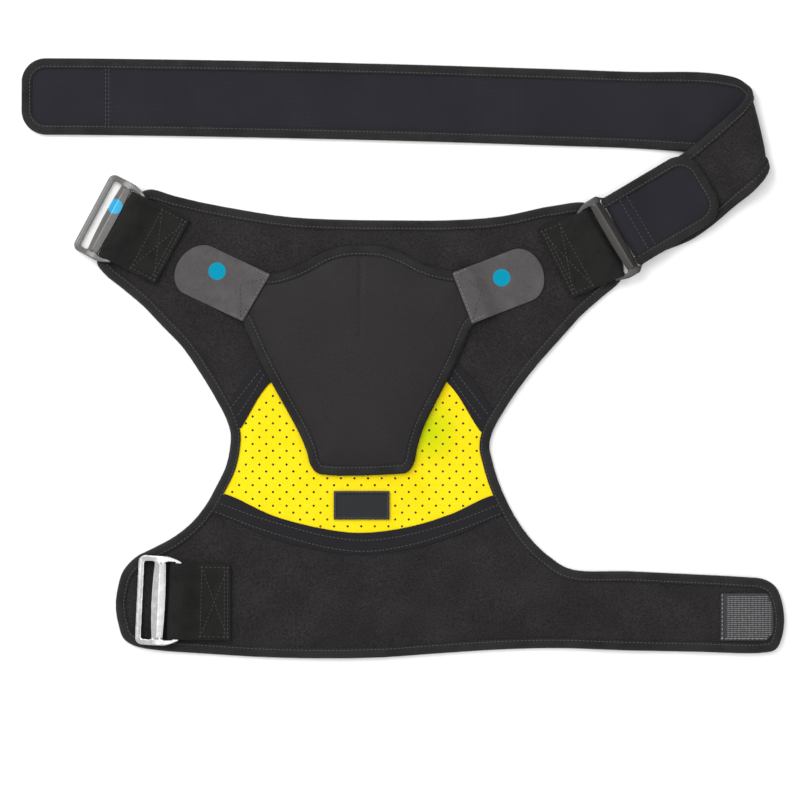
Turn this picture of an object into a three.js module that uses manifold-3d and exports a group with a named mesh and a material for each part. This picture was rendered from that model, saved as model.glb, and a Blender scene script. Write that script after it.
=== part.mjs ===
import * as THREE from 'three';
import { mergeVertices } from 'three/addons/utils/BufferGeometryUtils.js';
import Module from 'manifold-3d';

// A back and shoulder brace of padded cloth, lying flat with its outer side up.
// Millimetres, X to the right, Y towards the neck edge, Z up off the floor.

// Overall sizes of the cloth body
const bodyWidth = 468;
const bodyHeight = 328;

// Cloth and tape
const panelThickness = 3;
const tapeThickness = 1;
const bindingLeg = 7;
const seamTapeWidth = 14.5;
const clearance = 0.3;

// Shield on the middle of the back
const shieldWidth = 171;
const shieldHeight = 161;
const shieldEdge = 2.4;
const shieldCrown = 2.5;

// Grey tabs over the shield's corners
const tabWidth = 38;
const tabLength = 60;
const tabThickness = 1.2;
const tabLap = 10;
const tabCap = 15;

// Patches
const labelWidth = 39;
const labelHeight = 20;
const labelThickness = 1.4;
const labelRim = 1.6;
const labelRimHeight = 0.5;
const hookPatchLength = 37;
const hookPatchWidth = 33;
const hookPatchThickness = 1.3;
const hookPatchChamfer = 5;

// Webbing that holds the buckles
const webbingWidth = 50;
const webbingThickness = 1.4;
const loopHeight = 5.2;

// Buckle, a bowed frame with three bars
const armWidth = 4;
const endBar = 4.2;
const midBar = 7.4;
const rearSlot = 7;
const frontSlot = 7.8;
const buckleThickness = 3;
const buckleBow = 3;
const buckleCorner = 5;
const slotCorner = 1.6;

// Long strap
const strapWidth = 53.5;
const strapCore = 2.2;
const strapTip = 17;
const runLength = 475;
const runDrop = 11.4;
const runCurve = 1.6;
const tabEnd = 63;
const strapRise = 0.105;
const levelReach = 12;

// Ventilation holes of the middle panel
const holeDiameter = 1.6;
const holePitch = 12.4;
const holeRow = 6.2;
const holeSides = 5;

// Heights of the layers above the floor
const panelLow = tapeThickness + clearance;
const panelTop = panelLow + panelThickness;
const layerLow = panelTop + clearance;
const bodyTop = layerLow + tapeThickness;
const shieldLow = bodyTop + clearance;
const shieldTop = shieldLow + shieldEdge;
const shieldLegLow = shieldTop + clearance;
const shieldLegTop = shieldLegLow + tapeThickness;
const webbingLow = bodyTop + clearance;
const strapThickness = strapCore + 2 * (tapeThickness + clearance);
const inset = tapeThickness + clearance;

// Clockwise outline of the body from the left shoulder
// x and y are shares of bodyWidth and bodyHeight
const bodyOutline = {
  neck: [
    { x: 0.051, y: 1.001 }, { x: 0.088, y: 0.987 }, { x: 0.126, y: 0.974 }, { x: 0.193, y: 0.956 },
    { x: 0.260, y: 0.942 }, { x: 0.343, y: 0.936 }, { x: 0.425, y: 0.935 }, { x: 0.500, y: 0.935 },
    { x: 0.575, y: 0.943 }, { x: 0.650, y: 0.965 }, { x: 0.701, y: 0.973 },
  ],
  rightShoulder: [
    { x: 0.714, y: 0.964 }, { x: 0.734, y: 0.910 }, { x: 0.759, y: 0.840 }, { x: 0.757, y: 0.810 },
  ],
  rightArmhole: [
    { x: 0.725, y: 0.768 }, { x: 0.696, y: 0.731 }, { x: 0.662, y: 0.677 }, { x: 0.629, y: 0.624 },
    { x: 0.599, y: 0.568 }, { x: 0.575, y: 0.515 }, { x: 0.563, y: 0.481 }, { x: 0.559, y: 0.453 },
    { x: 0.563, y: 0.423 }, { x: 0.575, y: 0.368 }, { x: 0.597, y: 0.303 }, { x: 0.621, y: 0.255 },
    { x: 0.648, y: 0.218 },
  ],
  band: [
    { x: 0.680, y: 0.191 }, { x: 0.769, y: 0.186 }, { x: 0.874, y: 0.179 }, { x: 0.937, y: 0.174 },
    { x: 0.970, y: 0.169 }, { x: 0.987, y: 0.153 }, { x: 0.996, y: 0.124 }, { x: 1.000, y: 0.081 },
    { x: 0.996, y: 0.043 }, { x: 0.987, y: 0.019 }, { x: 0.967, y: 0.012 },
  ],
  hem: [
    { x: 0.874, y: 0.014 }, { x: 0.769, y: 0.017 }, { x: 0.665, y: 0.022 }, { x: 0.575, y: 0.019 },
    { x: 0.485, y: 0.011 }, { x: 0.395, y: 0.002 }, { x: 0.305, y: 0.000 }, { x: 0.216, y: 0.003 },
    { x: 0.126, y: 0.011 }, { x: 0.066, y: 0.017 },
  ],
  leftEnd: [
    { x: 0.030, y: 0.026 }, { x: 0.012, y: 0.042 }, { x: 0.004, y: 0.073 }, { x: 0.000, y: 0.111 },
    { x: 0.003, y: 0.150 }, { x: 0.011, y: 0.186 }, { x: 0.030, y: 0.216 },
  ],
  leftArmhole: [
    { x: 0.060, y: 0.238 }, { x: 0.088, y: 0.260 }, { x: 0.114, y: 0.290 }, { x: 0.135, y: 0.327 },
    { x: 0.151, y: 0.368 }, { x: 0.165, y: 0.410 }, { x: 0.171, y: 0.449 }, { x: 0.172, y: 0.479 },
    { x: 0.165, y: 0.513 }, { x: 0.148, y: 0.559 }, { x: 0.124, y: 0.615 }, { x: 0.099, y: 0.666 },
    { x: 0.070, y: 0.709 }, { x: 0.042, y: 0.751 },
  ],
  leftShoulder: [
    { x: 0.007, y: 0.793 }, { x: -0.015, y: 0.818 }, { x: -0.028, y: 0.846 }, { x: -0.012, y: 0.885 },
    { x: 0.012, y: 0.940 }, { x: 0.033, y: 0.989 },
  ],
};

// Clockwise outline of the shield from its upper left corner
// x and y are shares of shieldWidth and shieldHeight
const shieldOutline = {
  top: [
    { x: 0.143, y: 0.876 }, { x: 0.208, y: 0.892 }, { x: 0.273, y: 0.920 }, { x: 0.322, y: 0.950 },
    { x: 0.376, y: 0.978 }, { x: 0.441, y: 0.996 }, { x: 0.514, y: 1.000 }, { x: 0.588, y: 0.996 },
    { x: 0.637, y: 0.983 }, { x: 0.690, y: 0.961 }, { x: 0.763, y: 0.920 }, { x: 0.820, y: 0.900 },
    { x: 0.873, y: 0.889 },
  ],
  rightWing: [{ x: 0.929, y: 0.876 }, { x: 1.000, y: 0.685 }],
  rightSide: [
    { x: 0.963, y: 0.644 }, { x: 0.918, y: 0.531 }, { x: 0.861, y: 0.406 }, { x: 0.808, y: 0.297 },
    { x: 0.767, y: 0.206 }, { x: 0.743, y: 0.124 }, { x: 0.729, y: 0.054 },
  ],
  bottom: [
    { x: 0.702, y: 0.015 }, { x: 0.649, y: 0.007 }, { x: 0.506, y: 0.000 }, { x: 0.384, y: 0.002 },
    { x: 0.331, y: 0.013 },
  ],
  leftSide: [
    { x: 0.304, y: 0.050 }, { x: 0.290, y: 0.106 }, { x: 0.261, y: 0.180 }, { x: 0.200, y: 0.302 },
    { x: 0.143, y: 0.410 }, { x: 0.086, y: 0.531 }, { x: 0.031, y: 0.662 },
  ],
  leftWing: [{ x: 0.000, y: 0.714 }, { x: 0.092, y: 0.879 }],
};

// Where the shield's box starts, shares of bodyWidth and bodyHeight
const shieldPlace = { x: 0.180, y: 0.390 };

// Edges of the yellow panel between its tapes, shares of bodyWidth and bodyHeight
const leftVentEdge = [
  { x: 0.160, y: 0.430 }, { x: 0.188, y: 0.494 }, { x: 0.232, y: 0.590 }, { x: 0.300, y: 0.640 },
];
const rightVentEdge = [
  { x: 0.430, y: 0.640 }, { x: 0.496, y: 0.590 }, { x: 0.548, y: 0.481 }, { x: 0.600, y: 0.400 },
];
const lowerVentEdge = [
  { x: 0.120, y: 0.360 }, { x: 0.166, y: 0.349 }, { x: 0.237, y: 0.303 }, { x: 0.310, y: 0.276 },
  { x: 0.365, y: 0.267 }, { x: 0.433, y: 0.278 }, { x: 0.500, y: 0.306 }, { x: 0.564, y: 0.347 },
  { x: 0.620, y: 0.356 },
];

// Webbing and buckles: the middle of the sewn end, shares of bodyWidth and bodyHeight,
// the turn of the sewn end and of the buckle in degrees, the way to the rear bar in degrees and how
// far it lies from the sewn end, the slots' length, and what carries the front bar
const places = {
  left: {
    x: 0.085, y: 0.867, sewnTurn: 151.5, buckleTurn: 151.8, heading: 153, reach: 36.3,
    slotLength: 51.5, restsOn: 'floor',
  },
  lower: {
    x: 0.172, y: 0.120, sewnTurn: 180, buckleTurn: 177.3, heading: 178.65, reach: 37,
    slotLength: 54.5, restsOn: 'body',
  },
  right: {
    x: 0.657, y: 0.842, sewnTurn: 26.6, buckleTurn: 30.7, heading: 22.5, reach: 32.4,
    slotLength: 54.5, restsOn: 'strap',
  },
};

// Middles of the grey tabs' inner ends, shares of bodyWidth and bodyHeight, and their turns
const tabs = {
  left: { x: 0.211, y: 0.769, turn: 149.6 },
  right: { x: 0.518, y: 0.768, turn: 21.2 },
};

// Where the patches' middles lie, shares of bodyWidth and bodyHeight
const labelPlace = { x: 0.368, y: 0.327 };
const hookPatchPlace = { x: 0.944, y: 0.089 };

// Stations across the strap where it turns over, from the run to the buckle
// inner and outer are its two edges, as shares of strapWidth from the front bar's middle,
// and z is the height of its middle layer as a share of strapWidth, or rises with the strap
const turnOver = [
  { innerX: 0.938, innerY: 2.024, innerZ: 0.045, outerX: 0.899, outerY: 0.971, outerZ: 0.045 },
  { innerX: 1.252, innerY: 1.987, innerZ: 0.047, outerX: 1.291, outerY: 0.931, outerZ: 0.046 },
  { innerX: 1.422, innerY: 1.939, innerZ: 0.060, outerX: 1.566, outerY: 0.886, outerZ: 0.055 },
  { innerX: 1.520, innerY: 1.860, innerZ: 0.100, outerX: 1.736, outerY: 0.807, outerZ: 0.100 },
  { innerX: 1.547, innerY: 1.795, innerZ: 0.156, outerX: 1.789, outerY: 0.735, outerZ: 0.170 },
  { innerX: 1.520, innerY: 1.723, innerZ: 0.212, outerX: 1.749, outerY: 0.624, outerZ: 0.235 },
  { innerX: 1.448, innerY: 1.605, innerZ: 0.240, outerX: 1.619, outerY: 0.473, outerZ: 0.245 },
];
const downRun = [
  { innerX: 1.252, innerY: 1.423, outerX: 1.370, outerY: 0.271 },
  { innerX: 0.755, innerY: 1.007, outerX: 1.082, outerY: 0.025 },
  { innerX: 0.349, innerY: 0.751, outerX: 0.807, outerY: -0.165 },
];

// How a grey tab steps down from the shield, shares of the step's length and height
const tabStepLength = 2.5;
const tabStep = [{ along: 0.25, down: 0.12 }, { along: 0.75, down: 0.88 }];
const tabEndHalf = 0.4;

// How the upper layer of webbing comes down behind the rear bar, in loopHeight back from the bar
// and as a share of the drop
const webbingArcCentre = 0.8;
const webbingDescent = [
  { back: 0.5, down: 0 }, { back: 1.3, down: 0.3 }, { back: 2.2, down: 0.75 }, { back: 3, down: 1 },
];

// How far behind the front bar's middle the strap turns round it, in endBar
const barWrap = 0.4;

// How the strap's tab comes down from the front bar, in levelReach out and as a share of the drop
const tabDescent = [{ out: 0.5, down: 0.15 }, { out: 1.1, down: 0.65 }];
const tabSettle = 1.8;
const tabMiddle = 0.6;

// Steps of the curves
const outlineStep = 2;
const outlineTolerance = 0.1;
const arcSteps = 8;
const quarterSteps = 6;
const bowSteps = 12;
const runSteps = 10;
const stationSteps = 12;
const foldSteps = 60;

// Tests of closeness
const samePoint = 1e-4;
const parallel = 1e-9;
const edgeShare = 0.998;
const mitreShare = 0.5;
const crossingSteps = 12;

const wasm = await Module();
wasm.setup();

// Solids

function toSolid(geometry) {
  const bare = geometry.clone();
  bare.deleteAttribute('normal');
  bare.deleteAttribute('uv');
  const merged = mergeVertices(bare, samePoint);
  const mesh = new wasm.Mesh({
    numProp: 3,
    vertProperties: new Float32Array(merged.attributes.position.array),
    triVerts: new Uint32Array(merged.index.array),
  });
  return new wasm.Manifold(mesh);
}

function toGeometry(solid) {
  const mesh = solid.getMesh();
  const geometry = new THREE.BufferGeometry();
  geometry.setAttribute('position', new THREE.BufferAttribute(mesh.vertProperties, 3));
  geometry.setIndex(new THREE.BufferAttribute(mesh.triVerts, 1));
  geometry.computeVertexNormals();
  return geometry;
}

function prism(points, low, high) {
  const shape = new THREE.Shape(points);
  const geometry = new THREE.ExtrudeGeometry(shape, { depth: high - low, bevelEnabled: false });
  geometry.translate(0, 0, low);
  return toSolid(geometry);
}

// Outlines

const scaled = (rows, width, height) => rows.map((row) => new THREE.Vector2(row.x * width, row.y * height));

function distanceToSegment(p, a, b) {
  const run = b.clone().sub(a);
  const along = THREE.MathUtils.clamp(p.clone().sub(a).dot(run) / run.lengthSq(), 0, 1);
  return p.distanceTo(a.clone().addScaledVector(run, along));
}

// Leaves out points that lie on the line between their neighbours
function simplify(points, tolerance) {
  if (points.length < 3) return points;
  const first = points[0];
  const last = points.at(-1);
  let farthest = 0;
  let split = 0;
  for (let i = 1; i < points.length - 1; i++) {
    const closed = first.distanceTo(last) < samePoint;
    const off = closed ? points[i].distanceTo(first) : distanceToSegment(points[i], first, last);
    if (off > farthest) {
      farthest = off;
      split = i;
    }
  }
  if (farthest <= tolerance) return [first, last];
  const before = simplify(points.slice(0, split + 1), tolerance);
  const after = simplify(points.slice(split), tolerance);
  return [...before.slice(0, -1), ...after];
}

function smoothLine(corners, closed) {
  const knots = corners.map((p) => new THREE.Vector3(p.x, p.y, 0));
  const curve = new THREE.CatmullRomCurve3(knots, closed, 'centripetal');
  const count = Math.ceil(curve.getLength() / outlineStep);
  const fine = curve.getSpacedPoints(count).map((p) => new THREE.Vector2(p.x, p.y));
  const line = simplify(fine, outlineTolerance);
  return closed ? line.slice(0, -1) : line;
}

// Moves a closed outline inwards, and drops the points that a tight corner leaves too near the edge
function insetLoop(points, distance) {
  const turn = THREE.ShapeUtils.isClockWise(points) ? -1 : 1;
  const moved = points.map((p, i) => {
    const before = points.at(i - 1);
    const after = points[(i + 1) % points.length];
    const into = p.clone().sub(before).normalize();
    const out = after.clone().sub(p).normalize();
    const mitre = into.clone().add(out).normalize();
    const reach = (turn * distance) / Math.max(mitre.dot(into), mitreShare);
    return new THREE.Vector2(p.x - mitre.y * reach, p.y + mitre.x * reach);
  });
  const kept = moved.filter((p) => {
    const away = points.map((a, i) => distanceToSegment(p, a, points[(i + 1) % points.length]));
    return distance < 0 || Math.min(...away) > distance * edgeShare;
  });
  return untangle(kept);
}

function crossingOf(a, b, c, d) {
  const first = b.clone().sub(a);
  const second = d.clone().sub(c);
  const spread = first.cross(second);
  if (Math.abs(spread) < parallel) return null;
  const start = c.clone().sub(a);
  const along = start.cross(second) / spread;
  const beside = start.cross(first) / spread;
  const crosses = along > 0 && along < 1 && beside > 0 && beside < 1;
  return crosses ? a.clone().addScaledVector(first, along) : null;
}

// Cuts off the small loops where a line crosses itself a few points later
function untangle(points) {
  const line = [...points];
  for (let i = 0; i < line.length; i++) {
    const at = (k) => line[(i + k) % line.length];
    for (let k = 2; k < crossingSteps && k < line.length - 2; k++) {
      const cross = crossingOf(at(0), at(1), at(k), at(k + 1));
      if (!cross) continue;
      const dropped = Array.from({ length: k }, (_, n) => (i + 1 + n) % line.length);
      const joined = line.map((p, n) => (n === dropped[0] ? cross : p));
      return untangle(joined.filter((p, n) => n === dropped[0] || !dropped.includes(n)));
    }
  }
  return line;
}

// The strip between an open line and the same line moved sideways
function stripBeside(line, near, far) {
  const side = (distance) => line.map((p, i) => {
    const before = line[Math.max(i - 1, 0)];
    const after = line[Math.min(i + 1, line.length - 1)];
    const run = after.clone().sub(before).normalize();
    return new THREE.Vector2(p.x - run.y * distance, p.y + run.x * distance);
  });
  return [...side(near), ...side(far).reverse()];
}

// A box round the origin, with its two right-hand corners cut off where a chamfer is given
function box2(width, height, chamfer = 0) {
  const x = width / 2;
  const y = height / 2;
  const cut = [[-x, -y], [x - chamfer, -y], [x, -y + chamfer], [x, y - chamfer], [x - chamfer, y], [-x, y]];
  const plain = [[-x, -y], [x, -y], [x, y], [-x, y]];
  return (chamfer > 0 ? cut : plain).map(([px, py]) => new THREE.Vector2(px, py));
}

function roundedBox(x0, y0, x1, y1, radius) {
  const shape = new THREE.Shape();
  shape.moveTo(x0 + radius, y0);
  shape.lineTo(x1 - radius, y0);
  shape.absarc(x1 - radius, y0 + radius, radius, -Math.PI / 2, 0);
  shape.absarc(x1 - radius, y1 - radius, radius, 0, Math.PI / 2);
  shape.absarc(x0 + radius, y1 - radius, radius, Math.PI / 2, Math.PI);
  shape.absarc(x0 + radius, y0 + radius, radius, Math.PI, 1.5 * Math.PI);
  return shape.getPoints(4).slice(0, -1);
}

const moved2 = (points, x, y, turn = 0) =>
  points.map((p) => p.clone().rotateAround(new THREE.Vector2(), turn).add(new THREE.Vector2(x, y)));

// Sections lofted one to the next: each is a ring of corners in the same order, and the row of
// sections either ends in flat caps or closes on itself
function loft(stations, closed = false) {
  const ring = stations[0].length;
  const positions = stations.flat().flatMap((p) => [p.x, p.y, p.z]);
  const faces = [];
  const spans = closed ? stations.length : stations.length - 1;
  for (let s = 0; s < spans; s++) {
    const next = ((s + 1) % stations.length) * ring;
    for (let k = 0; k < ring; k++) {
      const a = s * ring + k;
      const b = s * ring + (k + 1) % ring;
      faces.push(a, b, next + (k + 1) % ring, a, next + (k + 1) % ring, next + k);
    }
  }
  const end = (stations.length - 1) * ring;
  for (let k = 1; k < ring - 1 && !closed; k++) {
    faces.push(0, k + 1, k, end, end + k, end + k + 1);
  }
  const geometry = new THREE.BufferGeometry();
  geometry.setAttribute('position', new THREE.Float32BufferAttribute(positions, 3));
  geometry.setIndex(faces);
  const solid = toSolid(geometry);
  if (solid.volume() > 0) return solid;
  for (let f = 0; f < faces.length; f += 3) [faces[f], faces[f + 1]] = [faces[f + 1], faces[f]];
  geometry.setIndex(faces);
  return toSolid(geometry);
}

// Body

const bodyEdge = smoothLine(scaled(Object.values(bodyOutline).flat(), bodyWidth, bodyHeight), true);
const panelEdge = insetLoop(bodyEdge, inset);
const windowEdge = insetLoop(bodyEdge, bindingLeg);
const tapeEdge = insetLoop(bodyEdge, bindingLeg + clearance);
const aboveAll = 40;

function edgeBinding() {
  const outer = prism(bodyEdge, 0, bodyTop);
  const pocket = prism(insetLoop(bodyEdge, tapeThickness), tapeThickness, layerLow);
  const window = prism(windowEdge, -1, bodyTop + 1);
  return outer.subtract(pocket).subtract(window);
}

// The panels meet under the tapes, a third of a tape away from the yellow panel's visible edge
const seamShare = 1 / 3;
const leftSeam = smoothLine(scaled(leftVentEdge, bodyWidth, bodyHeight), false);
const rightSeam = smoothLine(scaled(rightVentEdge, bodyWidth, bodyHeight), false);
const lowerSeam = smoothLine(scaled(lowerVentEdge, bodyWidth, bodyHeight), false);
const sideOf = (line, near, far, low, high) => prism(stripBeside(line, near, far), low, high);

const upperSeam = [...leftSeam, ...rightSeam];
const panelSheet = () => prism(panelEdge, panelLow, panelTop);
const farAway = bodyHeight;
const bodyMiddle = bodyWidth / 2;

function zoneAbove(line, offset) {
  const edge = stripBeside(line, offset, offset).slice(0, line.length);
  const left = new THREE.Vector2(-bodyMiddle, edge[0].y);
  const right = new THREE.Vector2(bodyWidth + bodyMiddle, edge.at(-1).y);
  const topRight = new THREE.Vector2(bodyWidth + bodyMiddle, bodyHeight + farAway);
  const topLeft = new THREE.Vector2(-bodyMiddle, bodyHeight + farAway);
  return prism([left, ...edge, right, topRight, topLeft], panelLow - 1, panelTop + 1);
}

const underTape = seamTapeWidth * seamShare;

function yokePanel() {
  return panelSheet().intersect(zoneAbove(upperSeam, underTape + clearance / 2));
}

function lowerBand() {
  return panelSheet().subtract(zoneAbove(lowerSeam, -underTape - clearance / 2));
}

const shieldEdgeLoop = moved2(
  smoothLine(scaled(Object.values(shieldOutline).flat(), shieldWidth, shieldHeight), true),
  shieldPlace.x * bodyWidth,
  shieldPlace.y * bodyHeight,
);

const insideLoop = (p, loop) => {
  let inside = false;
  loop.forEach((a, i) => {
    const b = loop.at(i - 1);
    const spans = (a.y > p.y) !== (b.y > p.y);
    if (spans && p.x < ((b.x - a.x) * (p.y - a.y)) / (b.y - a.y) + a.x) inside = !inside;
  });
  return inside;
};
const distanceToLine = (p, line) =>
  Math.min(...line.slice(1).map((b, i) => distanceToSegment(p, line[i], b)));
const distanceToLoop = (p, loop) => distanceToLine(p, [...loop, loop[0]]);

// Rows of holes, staggered, where the yellow panel shows
function ventHoles() {
  const labelBox = moved2(box2(labelWidth, labelHeight), labelPlace.x * bodyWidth, labelPlace.y * bodyHeight);
  const centres = [];
  const rowCount = Math.ceil(bodyHeight / holeRow);
  const columnCount = Math.ceil(bodyWidth / holePitch);
  const seams = [leftSeam, rightSeam, lowerSeam];
  const shown = [...upperSeam, ...[...lowerSeam].reverse()];
  for (let row = 0; row < rowCount; row++) {
    for (let column = 0; column < columnCount; column++) {
      const p = new THREE.Vector2((column + (row % 2) / 2) * holePitch, row * holeRow);
      const clear = seams.every((seam) => distanceToLine(p, seam) > holeDiameter)
        && insideLoop(p, tapeEdge) && distanceToLoop(p, tapeEdge) > holeDiameter
        && insideLoop(p, shown)
        && !insideLoop(p, shieldEdgeLoop) && distanceToLoop(p, shieldEdgeLoop) > holeDiameter
        && !insideLoop(p, labelBox) && distanceToLoop(p, labelBox) > holeDiameter;
      if (clear) centres.push(p);
    }
  }
  const drill = (p) => {
    const radius = holeDiameter / 2;
    const geometry = new THREE.CylinderGeometry(radius, radius, panelThickness + 2, holeSides);
    geometry.rotateX(Math.PI / 2);
    geometry.translate(p.x, p.y, (panelLow + panelTop) / 2);
    return toSolid(geometry);
  };
  return centres.map(drill);
}

function ventPanel() {
  const above = zoneAbove(lowerSeam, -underTape + clearance / 2);
  const below = zoneAbove(upperSeam, underTape - clearance / 2);
  let panel = panelSheet().intersect(above).subtract(below);
  for (const hole of ventHoles()) panel = panel.subtract(hole);
  return panel;
}

// Tapes over the seams, between the legs of the binding and clear of the shield
function seamTape(line, near, far) {
  const strip = sideOf(line, near, far, layerLow, bodyTop);
  const window = prism(tapeEdge, layerLow - 1, bodyTop + 1);
  const shield = prism(insetLoop(shieldEdgeLoop, -clearance), layerLow - 1, bodyTop + 1);
  return strip.intersect(window).subtract(shield);
}

// Shield

function shieldBinding() {
  const outer = prism(shieldEdgeLoop, layerLow, shieldLegTop);
  const pocket = prism(insetLoop(shieldEdgeLoop, tapeThickness), bodyTop, shieldLegLow);
  const window = prism(insetLoop(shieldEdgeLoop, bindingLeg), layerLow - 1, shieldLegTop + 1);
  return outer.subtract(pocket).subtract(window);
}

// How the crown rises: share of the way out from the middle, and share of shieldCrown
const crown = [
  { out: 1, rise: 0 },
  { out: 0.9, rise: 0.42 },
  { out: 0.76, rise: 0.72 },
  { out: 0.5, rise: 0.94 },
  { out: 0.2, rise: 1 },
];

// A slab with a soft crown inside the legs of its binding
function shieldPanel() {
  const edge = insetLoop(shieldEdgeLoop, inset);
  const middle = new THREE.Vector2();
  for (const p of edge) middle.addScaledVector(p, 1 / edge.length);
  const ring = (out, height) => edge.map((p) => {
    const q = middle.clone().lerp(p, out);
    return new THREE.Vector3(q.x, q.y, height);
  });
  const rings = crown.map(({ out, rise }) => ring(out, shieldTop + rise * shieldCrown));
  const dome = loftRings([ring(1, shieldLow + shieldEdge / 2), ...rings]);
  const window = prism(insetLoop(shieldEdgeLoop, bindingLeg + clearance), shieldLow, aboveAll);
  return prism(edge, shieldLow, shieldTop).add(dome.intersect(window));
}

// Rings stacked in height, closed by flat caps cut as shapes
function loftRings(stack) {
  const clockwise = THREE.ShapeUtils.isClockWise(stack[0]);
  const rings = clockwise ? stack.map((ring) => [...ring].reverse()) : stack;
  const count = rings[0].length;
  const positions = rings.flat().flatMap((p) => [p.x, p.y, p.z]);
  const faces = [];
  for (let s = 0; s < rings.length - 1; s++) {
    for (let k = 0; k < count; k++) {
      const a = s * count + k;
      const b = s * count + (k + 1) % count;
      faces.push(a, b, b + count, a, b + count, a + count);
    }
  }
  const end = (rings.length - 1) * count;
  const flat = (ring) => ring.map((p) => new THREE.Vector2(p.x, p.y));
  const cap = (ring) => THREE.ShapeUtils.triangulateShape(flat(ring), []);
  for (const [a, b, c] of cap(rings[0])) faces.push(a, c, b);
  for (const [a, b, c] of cap(rings.at(-1))) faces.push(end + a, end + b, end + c);
  const geometry = new THREE.BufferGeometry();
  geometry.setAttribute('position', new THREE.Float32BufferAttribute(positions, 3));
  geometry.setIndex(faces);
  return toSolid(geometry);
}

// Grey tabs: sewn on the shield, stepping down to the panel under their round ends

function tabSolid({ x, y, turn }) {
  const angle = THREE.MathUtils.degToRad(turn);
  const onShield = shieldLegTop + clearance + tabThickness / 2;
  const onPanel = layerLow + tabThickness / 2;
  const stepLength = tabStepLength * (shieldLegTop - layerLow);
  const profile = [
    { along: 0, height: onShield },
    { along: tabLap + clearance, height: onShield },
    ...tabStep.map(({ along, down }) => ({
      along: tabLap + along * stepLength,
      height: THREE.MathUtils.lerp(onShield, onPanel, down),
    })),
    { along: tabLap + stepLength, height: onPanel },
  ];
  for (let i = 0; i <= quarterSteps; i++) {
    const swing = (i / quarterSteps) * Math.PI / 2;
    profile.push({ along: tabLength - tabCap + tabCap * Math.sin(swing), height: onPanel });
  }
  const halfAt = (along) => {
    const past = Math.max(0, along - (tabLength - tabCap)) / tabCap;
    return Math.max((tabWidth / 2) * Math.sqrt(Math.max(1 - past * past, 0)), tabEndHalf);
  };
  const stations = profile.map(({ along, height }) => {
    const half = halfAt(along);
    const corner = (across, up) =>
      new THREE.Vector3(along, across, height + up).applyAxisAngle(new THREE.Vector3(0, 0, 1), angle)
        .add(new THREE.Vector3(x * bodyWidth, y * bodyHeight, 0));
    const t = tabThickness / 2;
    return [corner(-half, -t), corner(half, -t), corner(half, t), corner(-half, t)];
  });
  return loft(stations);
}

// Patches

function labelPatch() {
  const place = (points) => moved2(points, labelPlace.x * bodyWidth, labelPlace.y * bodyHeight);
  const low = layerLow;
  const rimTop = low + labelThickness + labelRimHeight;
  const whole = prism(place(box2(labelWidth, labelHeight)), low, rimTop);
  const inner = box2(labelWidth - 2 * labelRim, labelHeight - 2 * labelRim);
  return whole.subtract(prism(place(inner), low + labelThickness, rimTop + 1));
}

function hookPatch() {
  const outline = box2(hookPatchLength, hookPatchWidth, hookPatchChamfer);
  const place = moved2(outline, hookPatchPlace.x * bodyWidth, hookPatchPlace.y * bodyHeight);
  const window = prism(tapeEdge, layerLow - 1, aboveAll);
  return prism(place, layerLow, layerLow + hookPatchThickness).intersect(window);
}

// Buckles and webbing share one frame per place: along is out from the sewn end, z is up

const loopMiddle = webbingLow + webbingThickness + loopHeight / 2;
const buckleLength = 2 * endBar + rearSlot + midBar + frontSlot;
const frontReach = buckleLength - endBar;
const loopOffset = loopHeight / 2 + webbingThickness / 2;
const bowAt = (along) => buckleBow * Math.sin((Math.PI * along) / buckleLength) ** 2;
const barHeight = buckleThickness + bowAt(endBar);
const restHeights = {
  floor: 0,
  body: bodyTop + clearance,
  strap: strapThickness + clearance,
};

function placeFrame(place) {
  const sewn = THREE.MathUtils.degToRad(place.sewnTurn);
  const turn = THREE.MathUtils.degToRad(place.buckleTurn);
  const heading = THREE.MathUtils.degToRad(place.heading);
  const end = new THREE.Vector3(place.x * bodyWidth, place.y * bodyHeight, 0);
  const out = new THREE.Vector3(Math.cos(heading), Math.sin(heading), 0);
  const bar = end.clone().addScaledVector(out, place.reach).setZ(loopMiddle);
  // The front bar dips until its lower outer edge lies on what carries it
  const down = barHeight / 2;
  const ahead = frontReach + endBar / 2;
  const swing = Math.asin((loopMiddle - restHeights[place.restsOn]) / Math.hypot(down, ahead));
  const dip = swing - Math.atan2(down, ahead);
  return { sewn, turn, end, bar, dip };
}

// From the rear bar's middle: out along the buckle, across it and up
function onBuckle(frame, out, across, up) {
  const p = new THREE.Vector3(out, across, up);
  p.applyAxisAngle(new THREE.Vector3(0, 1, 0), frame.dip);
  p.applyAxisAngle(new THREE.Vector3(0, 0, 1), frame.turn);
  return p.add(frame.bar);
}

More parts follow.
